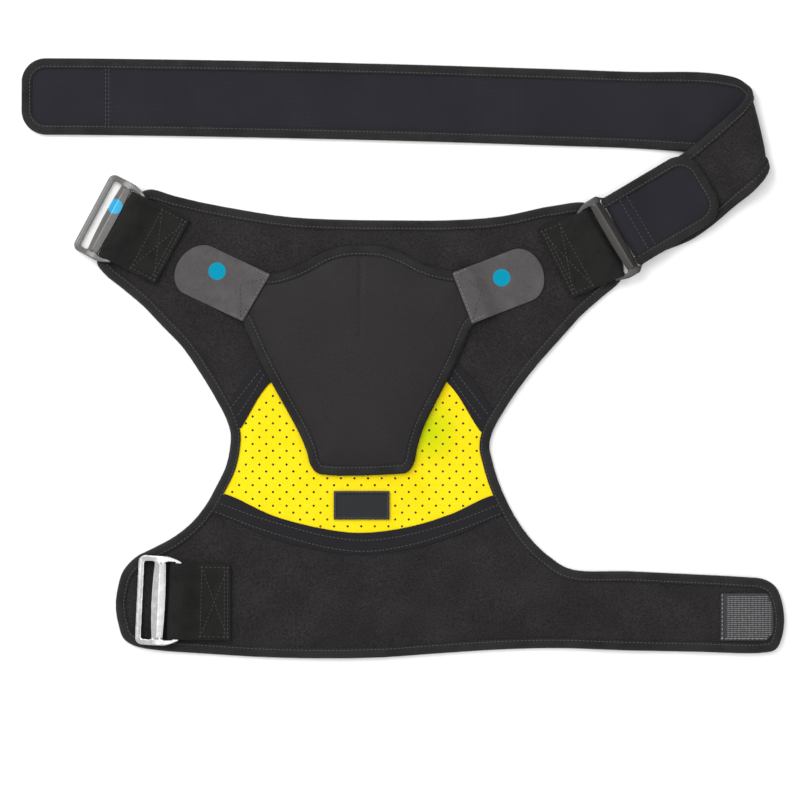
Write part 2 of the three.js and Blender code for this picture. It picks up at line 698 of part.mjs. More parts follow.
function buckle(place) {
  const frame = placeFrame(place);
  const half = place.slotLength / 2 + armWidth;
  const start = -endBar / 2;
  const finish = start + buckleLength;
  const side = [];
  for (let i = 0; i <= bowSteps; i++) {
    const along = (i / bowSteps) * buckleLength;
    side.push(new THREE.Vector2(start + along, bowAt(along) - barHeight / 2));
  }
  const upper = [...side].reverse().map((p) => new THREE.Vector2(p.x, p.y + buckleThickness));
  const section = new THREE.Shape([...side, ...upper]);
  const arch = new THREE.ExtrudeGeometry(section, { depth: 2 * half, bevelEnabled: false });
  arch.rotateX(Math.PI / 2);
  arch.translate(0, half, 0);
  const plan = prism(roundedBox(start, -half, finish, half, buckleCorner), -aboveAll, aboveAll);
  const slotHalf = place.slotLength / 2;
  const rearStart = start + endBar;
  const frontStart = rearStart + rearSlot + midBar;
  const slot = (low, width) =>
    prism(roundedBox(low, -slotHalf, low + width, slotHalf, slotCorner), -aboveAll, aboveAll);
  const bowed = toSolid(arch).intersect(plan);
  const flat = bowed.subtract(slot(rearStart, rearSlot)).subtract(slot(frontStart, frontSlot));
  const geometry = toGeometry(flat);
  const position = geometry.attributes.position;
  for (let i = 0; i < position.count; i++) {
    const p = onBuckle(frame, position.getX(i), position.getY(i), position.getZ(i));
    position.setXYZ(i, p.x, p.y, p.z);
  }
  return toSolid(geometry);
}

// The webbing is sewn down at its end, goes out round the rear bar and comes back on itself
function webbing(place) {
  const frame = placeFrame(place);
  const low = webbingLow + webbingThickness / 2;
  const back = low + webbingThickness + clearance;
  const path = [
    { along: 0, height: low },
    { along: place.reach / 2, height: low },
    { along: place.reach, height: low },
  ];
  const arcCentre = place.reach + loopHeight * webbingArcCentre;
  for (let i = 0; i <= arcSteps; i++) {
    const swing = -Math.PI / 2 + (i / arcSteps) * Math.PI;
    path.push({
      along: arcCentre + loopOffset * Math.cos(swing),
      height: loopMiddle + loopOffset * Math.sin(swing),
    });
  }
  const top = loopMiddle + loopOffset;
  for (const row of webbingDescent) {
    path.push({
      along: place.reach - loopHeight * row.back,
      height: THREE.MathUtils.lerp(top, back, row.down),
    });
  }
  path.push({ along: 0, height: back });
  const total = frame.bar.clone().sub(frame.end).setZ(0);
  const length = total.length();
  total.normalize();
  const half = webbingWidth / 2;
  const stations = path.map((p, i) => {
    const before = path[Math.max(i - 1, 0)];
    const after = path[Math.min(i + 1, path.length - 1)];
    const run = new THREE.Vector2(after.along - before.along, after.height - before.height).normalize();
    const blend = THREE.MathUtils.smoothstep(p.along, 0, length);
    const turn = THREE.MathUtils.lerp(frame.sewn, frame.turn, blend) + Math.PI / 2;
    const across = new THREE.Vector3(Math.cos(turn), Math.sin(turn), 0);
    const middle = frame.end.clone().addScaledVector(total, p.along).setZ(p.height);
    const corner = (side, up) => middle.clone().addScaledVector(across, side)
      .addScaledVector(total, -run.y * up).add(new THREE.Vector3(0, 0, run.x * up));
    const t = webbingThickness / 2;
    return [corner(-half, -t), corner(half, -t), corner(half, t), corner(-half, t)];
  });
  return loft(stations);
}

// Long strap: a round tip, a run along the floor, a turn over, the way down to the buckle,
// round its front bar and back on itself to a second round end

const strapFrame = placeFrame(places.right);
const frontBar = onBuckle(strapFrame, frontReach, 0, 0);
const strapOut = new THREE.Vector3(Math.cos(strapFrame.turn), Math.sin(strapFrame.turn), 0);
const strapAcross = new THREE.Vector3(-strapOut.y, strapOut.x, 0);
const strapMiddle = strapThickness / 2;
const barTurn = frontBar.z - strapMiddle;

function strapHeight(p) {
  const out = p.clone().sub(frontBar).setZ(0).dot(strapOut);
  return strapMiddle + strapRise * Math.max(0, out - levelReach);
}

function strapStations() {
  const half = strapWidth / 2;
  const at = (x, y, z) => new THREE.Vector3(frontBar.x + x * strapWidth, frontBar.y + y * strapWidth, z);
  const first = turnOver[0];
  const start = {
    inner: at(first.innerX, first.innerY, strapMiddle),
    outer: at(first.outerX, first.outerY, strapMiddle),
  };
  const middle = start.inner.clone().add(start.outer).divideScalar(2);
  const stations = [];
  for (let i = 0; i < runSteps; i++) {
    const share = 1 - i / runSteps;
    const fall = runDrop * (1 - (1 - share) ** runCurve);
    const centre = new THREE.Vector3(middle.x - share * runLength, middle.y + fall, strapMiddle);
    stations.push({
      inner: centre.clone().add(new THREE.Vector3(0, half, 0)),
      outer: centre.clone().add(new THREE.Vector3(0, -half, 0)),
    });
  }
  for (const row of turnOver) {
    stations.push({
      inner: at(row.innerX, row.innerY, row.innerZ * strapWidth),
      outer: at(row.outerX, row.outerY, row.outerZ * strapWidth),
    });
  }
  for (const row of downRun) {
    const inner = at(row.innerX, row.innerY, 0);
    const outer = at(row.outerX, row.outerY, 0);
    stations.push({ inner: inner.setZ(strapHeight(inner)), outer: outer.setZ(strapHeight(outer)) });
  }
  const level = (out, height) => {
    const centre = frontBar.clone().setZ(height).addScaledVector(strapOut, out);
    return {
      inner: centre.clone().addScaledVector(strapAcross, half),
      outer: centre.clone().addScaledVector(strapAcross, -half),
    };
  };
  stations.push(level(levelReach, strapMiddle));
  stations.push(level(levelReach / 2, strapMiddle));
  const arcCentre = -endBar * barWrap;
  for (let i = 0; i <= arcSteps; i++) {
    const swing = -Math.PI / 2 + (i / arcSteps) * Math.PI;
    stations.push(level(arcCentre - barTurn * Math.cos(swing), frontBar.z + barTurn * Math.sin(swing)));
  }
  const lift = strapThickness + clearance;
  const above = (out) => {
    const centre = frontBar.clone().addScaledVector(strapOut, out);
    return strapHeight(centre) + lift;
  };
  const barTop = frontBar.z + barTurn;
  const settle = levelReach * tabSettle;
  for (const row of tabDescent) {
    stations.push(level(levelReach * row.out, THREE.MathUtils.lerp(barTop, above(settle), row.down)));
  }
  stations.push(level(settle, above(settle)));
  stations.push(level(tabEnd * tabMiddle, above(tabEnd * tabMiddle)));
  stations.push(level(tabEnd, above(tabEnd)));
  return stations;
}

// A fine table of the strap's middle layer by length, with the direction of its thickness
function strapTable() {
  const stations = strapStations();
  const curveOf = (key) => new THREE.CatmullRomCurve3(stations.map((s) => s[key]), false, 'centripetal');
  const inner = curveOf('inner');
  const outer = curveOf('outer');
  const count = (stations.length - 1) * stationSteps;
  const onFloor = (p) => p.setZ(Math.max(p.z, strapMiddle));
  const rows = [];
  let length = 0;
  for (let i = 0; i <= count; i++) {
    const row = { inner: onFloor(inner.getPoint(i / count)), outer: onFloor(outer.getPoint(i / count)) };
    row.middle = row.inner.clone().add(row.outer).divideScalar(2);
    if (i > 0) length += row.middle.distanceTo(rows[i - 1].middle);
    row.length = length;
    rows.push(row);
  }
  rows.forEach((row, i) => {
    const before = rows[Math.max(i - 1, 0)];
    const after = rows[Math.min(i + 1, count)];
    const across = row.inner.clone().sub(row.outer).normalize();
    const up = (key) => after[key].clone().sub(before[key]).cross(across).normalize();
    row.innerUp = up('inner');
    row.outerUp = up('outer');
  });
  return rows;
}

const strapRows = strapTable();
const strapLength = strapRows.at(-1).length;

function strapAt(length) {
  const found = strapRows.findIndex((row) => row.length >= length);
  const after = strapRows[found < 0 ? strapRows.length - 1 : Math.max(found, 1)];
  const before = strapRows[(found < 0 ? strapRows.length - 1 : Math.max(found, 1)) - 1];
  const share = THREE.MathUtils.clamp((length - before.length) / (after.length - before.length), 0, 1);
  const mix = (key) => before[key].clone().lerp(after[key], share);
  return { inner: mix('inner'), outer: mix('outer'), innerUp: mix('innerUp'), outerUp: mix('outerUp') };
}

// Lengths at which the strap bends, so that every layer has the same facets
function bendLengths() {
  const turnStart = strapRows[runSteps * stationSteps].length;
  const lengths = [];
  for (let i = 1; i < runSteps; i++) lengths.push(strapTip + (i / runSteps) * (turnStart - strapTip));
  const last = strapLength - strapTip;
  for (let i = 0; i < foldSteps; i++) lengths.push(turnStart + (i / foldSteps) * (last - turnStart));
  return lengths;
}

// A place in the strap: how far along it, how far across from its middle, how far up its thickness
function strapPoint(along, across, up) {
  const line = strapAt(along);
  const share = 0.5 + across / strapWidth;
  const normal = line.outerUp.clone().lerp(line.innerUp, share).normalize();
  return line.outer.clone().lerp(line.inner, share).addScaledVector(normal, up);
}

const endSwings = Array.from({ length: quarterSteps + 1 }, (_, i) => (i / quarterSteps) * Math.PI / 2);

function longStrap() {
  const drawnIn = tapeThickness + 2 * clearance;
  const radius = strapTip - drawnIn;
  const ends = endSwings.map((swing) => ({
    along: strapTip - radius * Math.cos(swing),
    less: radius * (1 - Math.sin(swing)),
  }));
  const sections = [
    ...ends,
    ...bendLengths().map((along) => ({ along, less: 0 })),
    ...ends.map(({ along, less }) => ({ along: strapLength - along, less })).reverse(),
  ];
  const half = strapWidth / 2 - drawnIn;
  const inner = (strapWidth / 2 - bindingLeg) / half;
  const columns = [-1, -inner, inner, 1];
  return loft(sections.map(({ along, less }) => [
    ...columns.map((c) => strapPoint(along, c * (half - less), -strapCore / 2)),
    ...[...columns].reverse().map((c) => strapPoint(along, c * (half - less), strapCore / 2)),
  ]));
}

// The tape's section goes once round the strap's edge: up one side, round an end and back
function strapBinding() {
  const half = strapWidth / 2;
  const rim = [];
  const round = (centreAlong, side, alongSign, swings) => {
    for (const swing of swings) {
      const out = { along: alongSign * Math.cos(swing), across: side * Math.sin(swing) };
      rim.push({
        along: centreAlong + strapTip * out.along,
        across: side * (half - strapTip) + strapTip * out.across,
        inAlong: -out.along,
        inAcross: -out.across,
      });
    }
  };
  const falling = [...endSwings].reverse();
  const straight = bendLengths();
  const far = strapLength - strapTip;
  rim.push(...straight.map((along) => ({ along, across: half, inAlong: 0, inAcross: -1 })));
  round(far, 1, 1, falling);
  round(far, -1, 1, endSwings);
  rim.push(...[...straight].reverse().map((along) => ({ along, across: -half, inAlong: 0, inAcross: 1 })));
  round(strapTip, -1, -1, falling);
  round(strapTip, 1, -1, endSwings);
  const top = strapThickness / 2;
  const fold = top - tapeThickness;
  const section = [
    { into: 0, up: -top }, { into: bindingLeg, up: -top }, { into: bindingLeg, up: -fold },
    { into: tapeThickness, up: -fold }, { into: tapeThickness, up: fold }, { into: bindingLeg, up: fold },
    { into: bindingLeg, up: top }, { into: 0, up: top },
  ];
  return loft(rim.map((r) => section.map(({ into, up }) =>
    strapPoint(r.along + r.inAlong * into, r.across + r.inAcross * into, up))), true);
}

// Colours

const looks = {
  loopCloth: { color: 0x2d2b2b, roughness: 0.95, metalness: 0 },
  bindingTape: { color: 0x262626, roughness: 0.85, metalness: 0 },
  yellowCloth: { color: 0xfde914, roughness: 0.8, metalness: 0 },
  shieldCloth: { color: 0x383739, roughness: 0.55, metalness: 0 },
  greyTab: { color: 0x5f5d5c, roughness: 0.8, metalness: 0 },
  rubber: { color: 0x24262a, roughness: 0.5, metalness: 0 },
  webbing: { color: 0x232322, roughness: 0.8, metalness: 0 },
  buckle: { color: 0x5c5a58, roughness: 0.35, metalness: 0.2 },
  strapLining: { color: 0x32313a, roughness: 0.75, metalness: 0 },
  hookPatch: { color: 0x7d7d7f, roughness: 0.6, metalness: 0 },
};

const group = new THREE.Group();

function addPiece(name, solid, look) {
  const mesh = new THREE.Mesh(toGeometry(solid), new THREE.MeshStandardMaterial(looks[look]));
  mesh.name = name;
  group.add(mesh);
}

addPiece('edge_binding', edgeBinding(), 'bindingTape');
addPiece('yoke_panel', yokePanel(), 'loopCloth');
addPiece('vent_panel', ventPanel(), 'yellowCloth');
addPiece('lower_band', lowerBand(), 'loopCloth');
addPiece('seam_tape_left', seamTape(leftSeam, 0, seamTapeWidth), 'bindingTape');
addPiece('seam_tape_right', seamTape(rightSeam, 0, seamTapeWidth), 'bindingTape');
addPiece('seam_tape_lower', seamTape(lowerSeam, -seamTapeWidth, 0), 'bindingTape');
addPiece('shield_panel', shieldPanel(), 'shieldCloth');
addPiece('shield_binding', shieldBinding(), 'bindingTape');
addPiece('tab_left', tabSolid(tabs.left), 'greyTab');
addPiece('tab_right', tabSolid(tabs.right), 'greyTab');
addPiece('label_patch', labelPatch(), 'rubber');
addPiece('band_hook_patch', hookPatch(), 'hookPatch');
for (const [name, place] of Object.entries(places)) {
  addPiece(`webbing_${name}`, webbing(place), 'webbing');
  addPiece(`buckle_${name}`, buckle(place), 'buckle');
}
addPiece('long_strap', longStrap(), 'strapLining');
addPiece('strap_binding', strapBinding(), 'bindingTape');

// The origin is the middle of the underside of the whole piece
const extent = new THREE.Box3().setFromObject(group);
const centre = extent.getCenter(new THREE.Vector3());
group.position.set(-centre.x, -centre.y, -extent.min.z);

export default group;
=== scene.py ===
import math

import bmesh
import bpy
import numpy as np
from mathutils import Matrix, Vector, noise
from mathutils.geometry import delaunay_2d_cdt


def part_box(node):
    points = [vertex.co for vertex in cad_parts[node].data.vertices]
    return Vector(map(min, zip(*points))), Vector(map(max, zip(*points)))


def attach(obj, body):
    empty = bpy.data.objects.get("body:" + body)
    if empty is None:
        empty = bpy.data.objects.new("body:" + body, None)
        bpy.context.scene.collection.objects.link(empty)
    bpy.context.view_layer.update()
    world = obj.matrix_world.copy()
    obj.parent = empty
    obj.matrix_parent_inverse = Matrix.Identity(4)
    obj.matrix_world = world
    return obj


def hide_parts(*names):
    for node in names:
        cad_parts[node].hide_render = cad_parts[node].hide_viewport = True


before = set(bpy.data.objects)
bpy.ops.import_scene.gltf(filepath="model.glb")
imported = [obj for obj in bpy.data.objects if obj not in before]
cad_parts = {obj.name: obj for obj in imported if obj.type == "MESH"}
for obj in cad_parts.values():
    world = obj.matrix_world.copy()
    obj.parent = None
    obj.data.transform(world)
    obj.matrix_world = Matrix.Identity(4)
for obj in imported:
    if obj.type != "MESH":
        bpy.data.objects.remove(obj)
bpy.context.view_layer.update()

MM = 0.001
UP = np.array([0, 0, 1.0])

# Sizes shared with the solids, in metres
BODY_WIDTH = 468 * MM
BODY_HEIGHT = 328 * MM
TAPE = 1 * MM
LEG = 7 * MM
CLEAR = 0.3 * MM

# Heights of the layers, in metres
PANEL_LOW = 1.3 * MM
PANEL_TOP = 4.3 * MM
LAYER_LOW = 4.6 * MM
EDGE_TOP = 5.6 * MM
SHIELD_LOW = 5.9 * MM
SHIELD_TOP = 8.3 * MM
SHIELD_LEG_TOP = 9.6 * MM
SHIELD_CROWN = 2.7 * MM

# Webbing and buckles
WEBBING_THICK = 1.4 * MM
RIB_PITCH = 1.7 * MM
WEBBING_LOW = 5.9 * MM
LOOP_HEIGHT = 5.2 * MM
END_BAR = 4.2 * MM
MID_BAR = 7.4 * MM
REAR_SLOT = 7 * MM
FRONT_SLOT = 7.8 * MM
BUCKLE_THICK = 3 * MM
BUCKLE_BOW = 3 * MM
PLACES = {
    "left": {"x": 0.085, "y": 0.867, "sewn": 151.5, "turn": 151.8, "heading": 153, "reach": 36.3 * MM,
             "slot": 51.5 * MM, "webbing": 50.8 * MM, "rest": 0, "box": 20 * MM, "fold": 0.88},
    "lower": {"x": 0.172, "y": 0.120, "sewn": 180, "turn": 177.3, "heading": 178.65, "reach": 37 * MM,
              "slot": 54.5 * MM, "webbing": 53.2 * MM, "rest": 5.9 * MM, "box": 20.5 * MM,
              "fold": 0.45},
    "right": {"x": 0.657, "y": 0.842, "sewn": 26.6, "turn": 30.7, "heading": 22.5, "reach": 32.4 * MM,
              "slot": 54.5 * MM, "webbing": 53.2 * MM, "rest": 5.1 * MM, "box": 16 * MM,
              "fold": 0.5},
}
WEBBING_DESCENT = [(0.5, 0), (1.3, 0.3), (2.2, 0.75), (3, 1)]

# Long strap
STRAP_WIDTH = 53.5 * MM
STRAP_CORE = 2.2 * MM
STRAP_THICK = 4.8 * MM
STRAP_TIP = 17 * MM
RUN_LENGTH = 475 * MM
RUN_DROP = 11.4 * MM
RUN_CURVE = 1.6
TAB_END = 63 * MM
STRAP_RISE = 0.105
LEVEL_REACH = 12 * MM
BAR_WRAP = 0.4
TAB_SETTLE = 1.8
TAB_MIDDLE = 0.6
TAB_DESCENT = [(0.5, 0.15), (1.1, 0.65)]
RUN_STEPS = 10

# Stations where the strap turns over: inner x, y, z and outer x, y, z in STRAP_WIDTH
TURN_OVER = [
    (0.938, 2.024, 0.045, 0.899, 0.971, 0.045),
    (1.252, 1.987, 0.047, 1.291, 0.931, 0.046),
    (1.422, 1.939, 0.060, 1.566, 0.886, 0.055),
    (1.520, 1.860, 0.100, 1.736, 0.807, 0.100),
    (1.547, 1.795, 0.156, 1.789, 0.735, 0.170),
    (1.520, 1.723, 0.212, 1.749, 0.624, 0.235),
    (1.448, 1.605, 0.240, 1.619, 0.473, 0.245),
]
DOWN_RUN = [
    (1.252, 1.423, 1.370, 0.271),
    (0.755, 1.007, 1.082, 0.025),
    (0.349, 0.751, 0.807, -0.165),
]

# Grey tabs: place, turn and the middle of the printed dot
TAB_WIDTH = 38 * MM
TAB_LENGTH = 60 * MM
TAB_CAP = 15 * MM
TAB_THICK = 1.2 * MM
TAB_LAP = 10 * MM
TAB_STEP = 2.5
TABS = {
    "left": {"x": 0.211, "y": 0.769, "turn": 149.6, "lean": 5, "dot": (217.5, 271.5),
             "seam": [[(241, 286), (241, 316)], [(244, 284), (265, 279)]]},
    "right": {"x": 0.518, "y": 0.768, "turn": 21.2, "lean": 0, "dot": (501.4, 278),
              "seam": [[(461, 276), (481, 291)], [(481, 291), (473, 318)]]},
}
DOT_RADIUS = 6 * MM

# The photograph's frame
PHOTO_SIZE = 800
VIEW_WIDTH = 560.6 * MM
PIXEL = VIEW_WIDTH / PHOTO_SIZE
VIEW_MIDDLE = (-1.99 * MM, -29.22 * MM)

# Where the body's lower left corner lies, found from the label patch
label_low, label_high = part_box("label_patch")
LABEL_PLACE = (0.368, 0.327)
CORNER = np.array([
    (label_low.x + label_high.x) / 2 - LABEL_PLACE[0] * BODY_WIDTH,
    (label_low.y + label_high.y) / 2 - LABEL_PLACE[1] * BODY_HEIGHT,
])


def from_photo(rows):
    """Points of the photograph as points of the frame."""
    rows = np.asarray(rows, float)
    middle = PHOTO_SIZE / 2
    return np.column_stack([
        VIEW_MIDDLE[0] + (rows[:, 0] - middle) * PIXEL,
        VIEW_MIDDLE[1] - (rows[:, 1] - middle) * PIXEL,
    ])


def photo_point(x, y):
    return tuple(from_photo([(x, y)])[0])


# Flat outlines

# Corners closer than this, in metres, are the same
GRAIN = 1e-5


def signed_area(loop):
    ahead = np.roll(loop, -1, 0)
    return float((loop[:, 0] * ahead[:, 1] - ahead[:, 0] * loop[:, 1]).sum() / 2)


def level_loops(node, height):
    """Closed outlines, largest first, of the node's level faces at this height."""
    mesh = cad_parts[node].data
    keys = [tuple(round(c / GRAIN) for c in v.co) for v in mesh.vertices]
    level = round(height / GRAIN)
    edges = set()
    for face in mesh.polygons:
        corners = [keys[i] for i in face.vertices]
        if all(abs(k[2] - level) <= 1 for k in corners):
            edges.update(zip(corners, corners[1:] + corners[:1]))
    rim = {a: b for a, b in sorted(edges) if (b, a) not in edges}
    loops = []
    while rim:
        loop = [next(iter(rim))]
        while loop[-1] in rim:
            ahead = rim.pop(loop[-1])
            if ahead == loop[0]:
                break
            loop.append(ahead)
        loops.append(np.array(loop, float)[:, :2] * GRAIN)
    return sorted(loops, key=lambda points: -abs(signed_area(points)))


def resample(line, pitch, closed=True):
    """The line with points at an even pitch."""
    line = np.asarray(line, float)
    whole = np.vstack([line, line[:1]]) if closed else line
    runs = np.sqrt((np.diff(whole, axis=0) ** 2).sum(1))
    along = np.concatenate([[0], np.cumsum(runs)])
    count = max(4, round(along[-1] / pitch))
    at = np.linspace(0, along[-1], count, endpoint=not closed)
    return np.column_stack([np.interp(at, along, whole[:, k]) for k in range(whole.shape[1])])


def distance_to(points, line, closed=True):
    """Distance of each point from the line, and how far along it the nearest place lies."""
    starts = line if closed else line[:-1]
    ends = np.roll(line, -1, 0) if closed else line[1:]
    run = ends - starts
    length = np.maximum(np.hypot(run[:, 0], run[:, 1]), 1e-9)
    before = np.concatenate([[0], np.cumsum(length)[:-1]])
    gaps, along = [], []
    chunk = 1500
    for low in range(0, len(points), chunk):
        p = points[low:low + chunk, None, :]
        share = np.clip(((p - starts) * run).sum(2) / length ** 2, 0, 1)
        off = p - starts - share[..., None] * run
        gap = np.hypot(off[..., 0], off[..., 1])
        nearest = gap.argmin(1)
        rows = np.arange(len(nearest))
        gaps.append(gap[rows, nearest])
        along.append(before[nearest] + share[rows, nearest] * length[nearest])
    return np.concatenate(gaps), np.concatenate(along)


def inside(points, loops):
    """Whether each point lies inside an odd number of the loops."""
    x, y = points[:, 0], points[:, 1]
    odd = np.zeros(len(points), bool)
    for loop in loops:
        for (x0, y0), (x1, y1) in zip(loop, np.roll(loop, -1, 0)):
            if y0 != y1:
                spans = (y0 > y) != (y1 > y)
                odd ^= spans & (x < (x1 - x0) * (y - y0) / (y1 - y0) + x0)
    return odd


def catmull_rom(points, steps):
    """A smooth curve through the points, which keeps close to them at uneven spacing."""
    whole = np.vstack([2 * points[0] - points[1], points, 2 * points[-1] - points[-2]])
    result = []
    for i in range(len(points) - 1):
        p0, p1, p2, p3 = whole[i:i + 4]
        spans = [max(((b - a) ** 2).sum(), 1e-12) ** 0.25 for a, b in ((p0, p1), (p1, p2), (p2, p3))]
        d0, d1, d2 = spans
        t1 = ((p1 - p0) / d0 - (p2 - p0) / (d0 + d1) + (p2 - p1) / d1) * d1
        t2 = ((p2 - p1) / d1 - (p3 - p1) / (d1 + d2) + (p3 - p2) / d2) * d1
        for k in range(steps):
            w = k / steps
            result.append(p1 + t1 * w + (-3 * p1 + 3 * p2 - 2 * t1 - t2) * w ** 2
                          + (2 * p1 - 2 * p2 + t1 + t2) * w ** 3)
    result.append(points[-1])
    return np.array(result)


# Share of the wanted distance that a point has to keep, or else it lies in a corner's overlap
INSET_KEPT = 0.985


def inset_line(loop, distance, pitch):
    """The line that runs inside a closed outline at this distance."""
    points = resample(loop, pitch)
    turn = 1 if signed_area(points) > 0 else -1
    run = np.roll(points, -1, 0) - np.roll(points, 1, 0)
    run /= np.hypot(run[:, 0], run[:, 1])[:, None]
    moved = points + turn * distance * np.column_stack([-run[:, 1], run[:, 0]])
    gap, _ = distance_to(moved, points)
    return moved[gap > distance * INSET_KEPT]


def triangulate(loops, pitch):
    """Points and triangles over the area inside an odd number of the loops."""
    low = np.min([loop.min(0) for loop in loops], 0)
    high = np.max([loop.max(0) for loop in loops], 0)
    step = pitch * math.sqrt(3) / 2
    rows = []
    for k, y in enumerate(np.arange(low[1] + step / 2, high[1], step)):
        x = np.arange(low[0] + (k % 2) * pitch / 2, high[0], pitch)
        rows.append(np.column_stack([x, np.full(len(x), y)]))
    grid = np.vstack(rows)
    grid = grid[inside(grid, loops)]
    for loop in loops:
        reach = loop.min(0) - pitch, loop.max(0) + pitch
        near = ((grid > reach[0]) & (grid < reach[1])).all(1)
        gap, _ = distance_to(grid[near], loop)
        keep = np.ones(len(grid), bool)
        keep[np.flatnonzero(near)[gap < 0.5 * pitch]] = False
        grid = grid[keep]
    corners = np.vstack([*loops, grid]) / MM
    edges, first = [], 0
    for loop in loops:
        count = len(loop)
        edges += [(first + k, first + (k + 1) % count) for k in range(count)]
        first += count
    vectors = [Vector(p) for p in corners.tolist()]
    points, _, faces, *_ = delaunay_2d_cdt(vectors, edges, [], 0, 1e-5)
    points = np.array([tuple(p) for p in points]) * MM
    faces = np.array(faces)
    faces = faces[inside(points[faces].mean(1), loops)]
    a, b, c = (points[faces[:, k]] for k in range(3))
    turn = (b[:, 0] - a[:, 0]) * (c[:, 1] - a[:, 1]) - (b[:, 1] - a[:, 1]) * (c[:, 0] - a[:, 0])
    faces[turn < 0] = faces[turn < 0][:, ::-1]
    return points, faces


def rim_edges(faces):
    edges = {(int(f[k]), int(f[(k + 1) % 3])) for f in faces for k in range(3)}
    return sorted((a, b) for a, b in edges if (b, a) not in edges)


# Meshes

SHARP = math.radians(50)
WELD = 2e-6


def add_object(name, data):
    made = bpy.data.objects.new(name, data)
    bpy.context.scene.collection.objects.link(made)
    return made


def make_object(name, vertices, faces, uv=None, period=None, weld=False, looks=None):
    """An object from arrays. uv holds metres along and across, and period is a closed line's length."""
    mesh = bpy.data.meshes.new(name)
    mesh.from_pydata([tuple(v) for v in vertices], [], [tuple(int(i) for i in f) for f in faces])
    if looks is not None:
        mesh.polygons.foreach_set("material_index", looks)
    if uv is not None:
        layer = mesh.uv_layers.new(name="along")
        flat = np.zeros((len(mesh.loops), 2))
        for face in mesh.polygons:
            rows = np.array([uv[i] for i in face.vertices])
            if period:
                rows[:, 0] -= period * np.round((rows[:, 0] - rows[0, 0]) / period)
            flat[face.loop_start:face.loop_start + face.loop_total] = rows
        layer.data.foreach_set("uv", flat.ravel())
    if weld:
        work = bmesh.new()
        work.from_mesh(mesh)
        bmesh.ops.remove_doubles(work, verts=work.verts, dist=WELD)
        bmesh.ops.recalc_face_normals(work, faces=work.faces)
        work.to_mesh(mesh)
        work.free()
    mesh.validate()
    mesh.shade_smooth()
    mesh.set_sharp_from_angle(angle=SHARP)
    return add_object(name, mesh)


def ripple(points, size, height, layer):
    """A smooth uneven height for each point."""
    return height * np.array([noise.noise((p[0] / size, p[1] / size, layer)) for p in points])


def smooth_step(x):
    x = np.clip(x, 0, 1)
    return x * x * (3 - 2 * x)


def slab(name, loops, pitch, top, bottom, uv=None, period=None):
    """A closed sheet between two heights over an area."""
    flat, faces = triangulate(loops, pitch)
    count = len(flat)
    upper = np.column_stack([flat, top(flat)])
    lower = np.column_stack([flat, bottom(flat)])
    sides = [(b, a, a + count, b + count) for a, b in rim_edges(faces)]
    whole = [*faces, *(faces[:, ::-1] + count), *sides]
    rows = None if uv is None else np.vstack([uv(flat)] * 2)
    return make_object(name, np.vstack([upper, lower]), whole, rows, period)


def loft(name, sections, uv=None, closed=False, looks=None):
    """Rings of points, each the same size, joined in order."""
    stations, count = sections.shape[:2]
    faces = []
    last = stations if closed else stations - 1
    for s in range(last):
        ahead = (s + 1) % stations
        for k in range(count):
            j = (k + 1) % count
            faces.append((s * count + k, ahead * count + k, ahead * count + j, s * count + j))
    if not closed:
        faces.append(tuple(range(count)))
        faces.append(tuple(reversed(range((stations - 1) * count, stations * count))))
    rows = None if uv is None else uv.reshape(-1, 2)
    return make_object(name, sections.reshape(-1, 3), faces, rows, weld=True, looks=looks)


STITCH_RINGS = [(-1, 0.25), (-0.7, 0.8), (0, 1), (0.7, 0.8), (1, 0.25)]
STITCH_SIDES = 6


def threads(name, centres, directions, ups, half_length, radius):
    """A row of short rounded threads, joined into one mesh."""
    centres, directions, ups = (np.asarray(v, float) for v in (centres, directions, ups))
    directions = directions / np.linalg.norm(directions, axis=1)[:, None]
    across = np.cross(ups, directions)
    across /= np.linalg.norm(across, axis=1)[:, None]
    ups = np.cross(directions, across)
    swings = np.linspace(0, 2 * math.pi, STITCH_SIDES, endpoint=False)
    template, faces = [], []
    for ring, (share, size) in enumerate(STITCH_RINGS):
        drop = -0.5 * radius * share ** 2
        for k, swing in enumerate(swings):
            template.append((share * half_length, size * radius * math.cos(swing),
                             size * radius * math.sin(swing) + drop))
            if ring:
                a = (ring - 1) * STITCH_SIDES + k
                b = (ring - 1) * STITCH_SIDES + (k + 1) % STITCH_SIDES
                faces.append((a, a + STITCH_SIDES, b + STITCH_SIDES, b))
    template = np.array(template)
    size = len(template)
    faces.append(tuple(range(STITCH_SIDES)))
    faces.append(tuple(reversed(range(size - STITCH_SIDES, size))))
    vertices = (centres[:, None] + template[None, :, :1] * directions[:, None]
                + template[None, :, 1:2] * across[:, None] + template[None, :, 2:] * ups[:, None])
    whole = [tuple(i + n * size for i in face) for n in range(len(centres)) for face in faces]
    return make_object(name, vertices.reshape(-1, 3), whole)


# Materials


def linear(colour):
    """A colour in steps of 255 as linear light."""
    shares = [c / 255 for c in colour]
    return [s / 12.92 if s <= 0.04045 else ((s + 0.055) / 1.055) ** 2.4 for s in shares]


MIX_SHARE, MIX_FROM, MIX_TO, MIX_RESULT = 0, 6, 7, 2
SPOT_BLUR = 0.06


